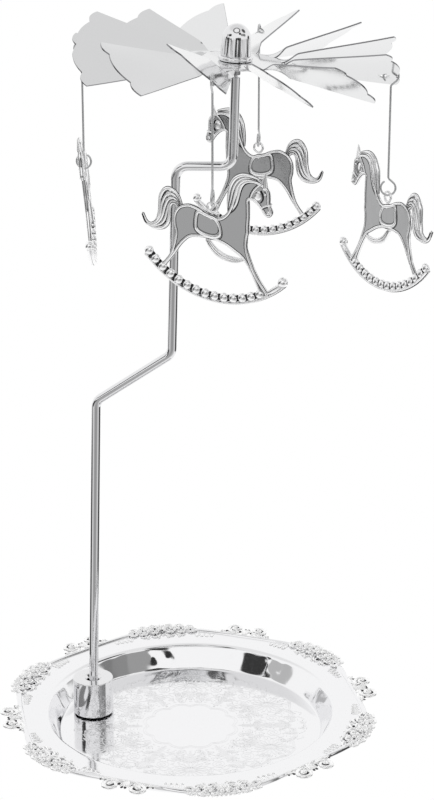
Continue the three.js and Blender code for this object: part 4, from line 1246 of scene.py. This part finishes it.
def split_by_ray(new, link, seen, others, surface):
    """One shader for what the camera sees itself, another for every other ray."""
    path = new("ShaderNodeLightPath")
    pick = new("ShaderNodeMixShader")
    link(path.outputs["Is Camera Ray"], pick.inputs["Fac"])
    link(others, pick.inputs[1])
    link(seen, pick.inputs[2])
    link(pick.outputs["Shader"], surface)


def studio():
    world = bpy.data.worlds.new("studio")
    bpy.context.scene.world = world
    new, link = fresh_nodes(world)
    out = new("ShaderNodeOutputWorld")
    seen = new("ShaderNodeBackground")
    seen.inputs["Color"].default_value = WHITE
    mirrored = new("ShaderNodeBackground")
    place = new("ShaderNodeTexCoord")

    def faded(value, low, high):
        fade = new("ShaderNodeMapRange")
        fade.interpolation_type = "SMOOTHSTEP"
        fade.inputs["From Min"].default_value = low
        fade.inputs["From Max"].default_value = high
        link(value, fade.inputs["Value"])
        return fade.outputs["Result"]

    def mixed(below, above, share):
        mix = new("ShaderNodeMix")
        mix.data_type = "FLOAT"
        for given, socket in ((below, mix.inputs["A"]), (above, mix.inputs["B"])):
            if isinstance(given, float):
                socket.default_value = given
            else:
                link(given, socket)
        link(share, mix.inputs["Factor"])
        return mix.outputs["Result"]

    axes = new("ShaderNodeSeparateXYZ")
    link(place.outputs["Generated"], axes.inputs[0])
    span = new("ShaderNodeMapRange")
    span.inputs["From Min"].default_value = -1
    link(axes.outputs["Y"], span.inputs["Value"])
    level = 1.0
    for stops, *edge in BANDS:
        band = new("ShaderNodeFloatCurve")
        curve = band.mapping.curves[0]
        for _ in stops[2:]:
            curve.points.new(0.5, 0.5)
        for point, (y, value) in zip(curve.points, stops):
            point.location = ((y + 1) / 2, value)
        band.mapping.update()
        link(span.outputs["Result"], band.inputs["Value"])
        level = mixed(level, band.outputs["Value"], faded(axes.outputs["Z"], *edge))
    for azimuth, elevation, half, soft, value in PATCHES:
        dot = new("ShaderNodeVectorMath")
        dot.operation = "DOT_PRODUCT"
        dot.inputs[1].default_value = direction(azimuth, elevation)
        link(place.outputs["Generated"], dot.inputs[0])
        edges = [math.cos(math.radians(half + soft)), math.cos(math.radians(half))]
        level = mixed(level, value, faded(dot.outputs["Value"], *edges))
    link(level, mirrored.inputs["Color"])
    split_by_ray(new, link, seen.outputs[0], mirrored.outputs[0], out.inputs["Surface"])


def table():
    paper = bpy.data.materials.new("white_table")
    new, link = fresh_nodes(paper)
    out = new("ShaderNodeOutputMaterial")
    glow = new("ShaderNodeEmission")
    glow.inputs["Color"].default_value = WHITE
    glow.inputs["Strength"].default_value = 1
    clear = new("ShaderNodeBsdfTransparent")
    split_by_ray(new, link, glow.outputs[0], clear.outputs[0], out.inputs["Surface"])
    top = Shape()
    ring = TABLE_RADIUS * circle(96)
    top.add(np.column_stack([ring, np.full(len(ring), -TABLE_DROP)]), [tuple(range(len(ring)))])
    top.object("table", paper)


studio()
table()

camera = bpy.data.cameras.new("camera")
camera.sensor_width = SENSOR
camera.lens = FOCAL_PIXELS / PICTURE_HEIGHT * SENSOR
camera.clip_start = 0.01
viewer = placed("camera", camera)
viewer.location = CAMERA_AT
viewer.rotation_euler = (math.radians(90 - CAMERA_DIP), 0, math.radians(CAMERA_TURN))
bpy.context.scene.camera = viewer
bpy.context.scene.view_settings.view_transform = "Standard"
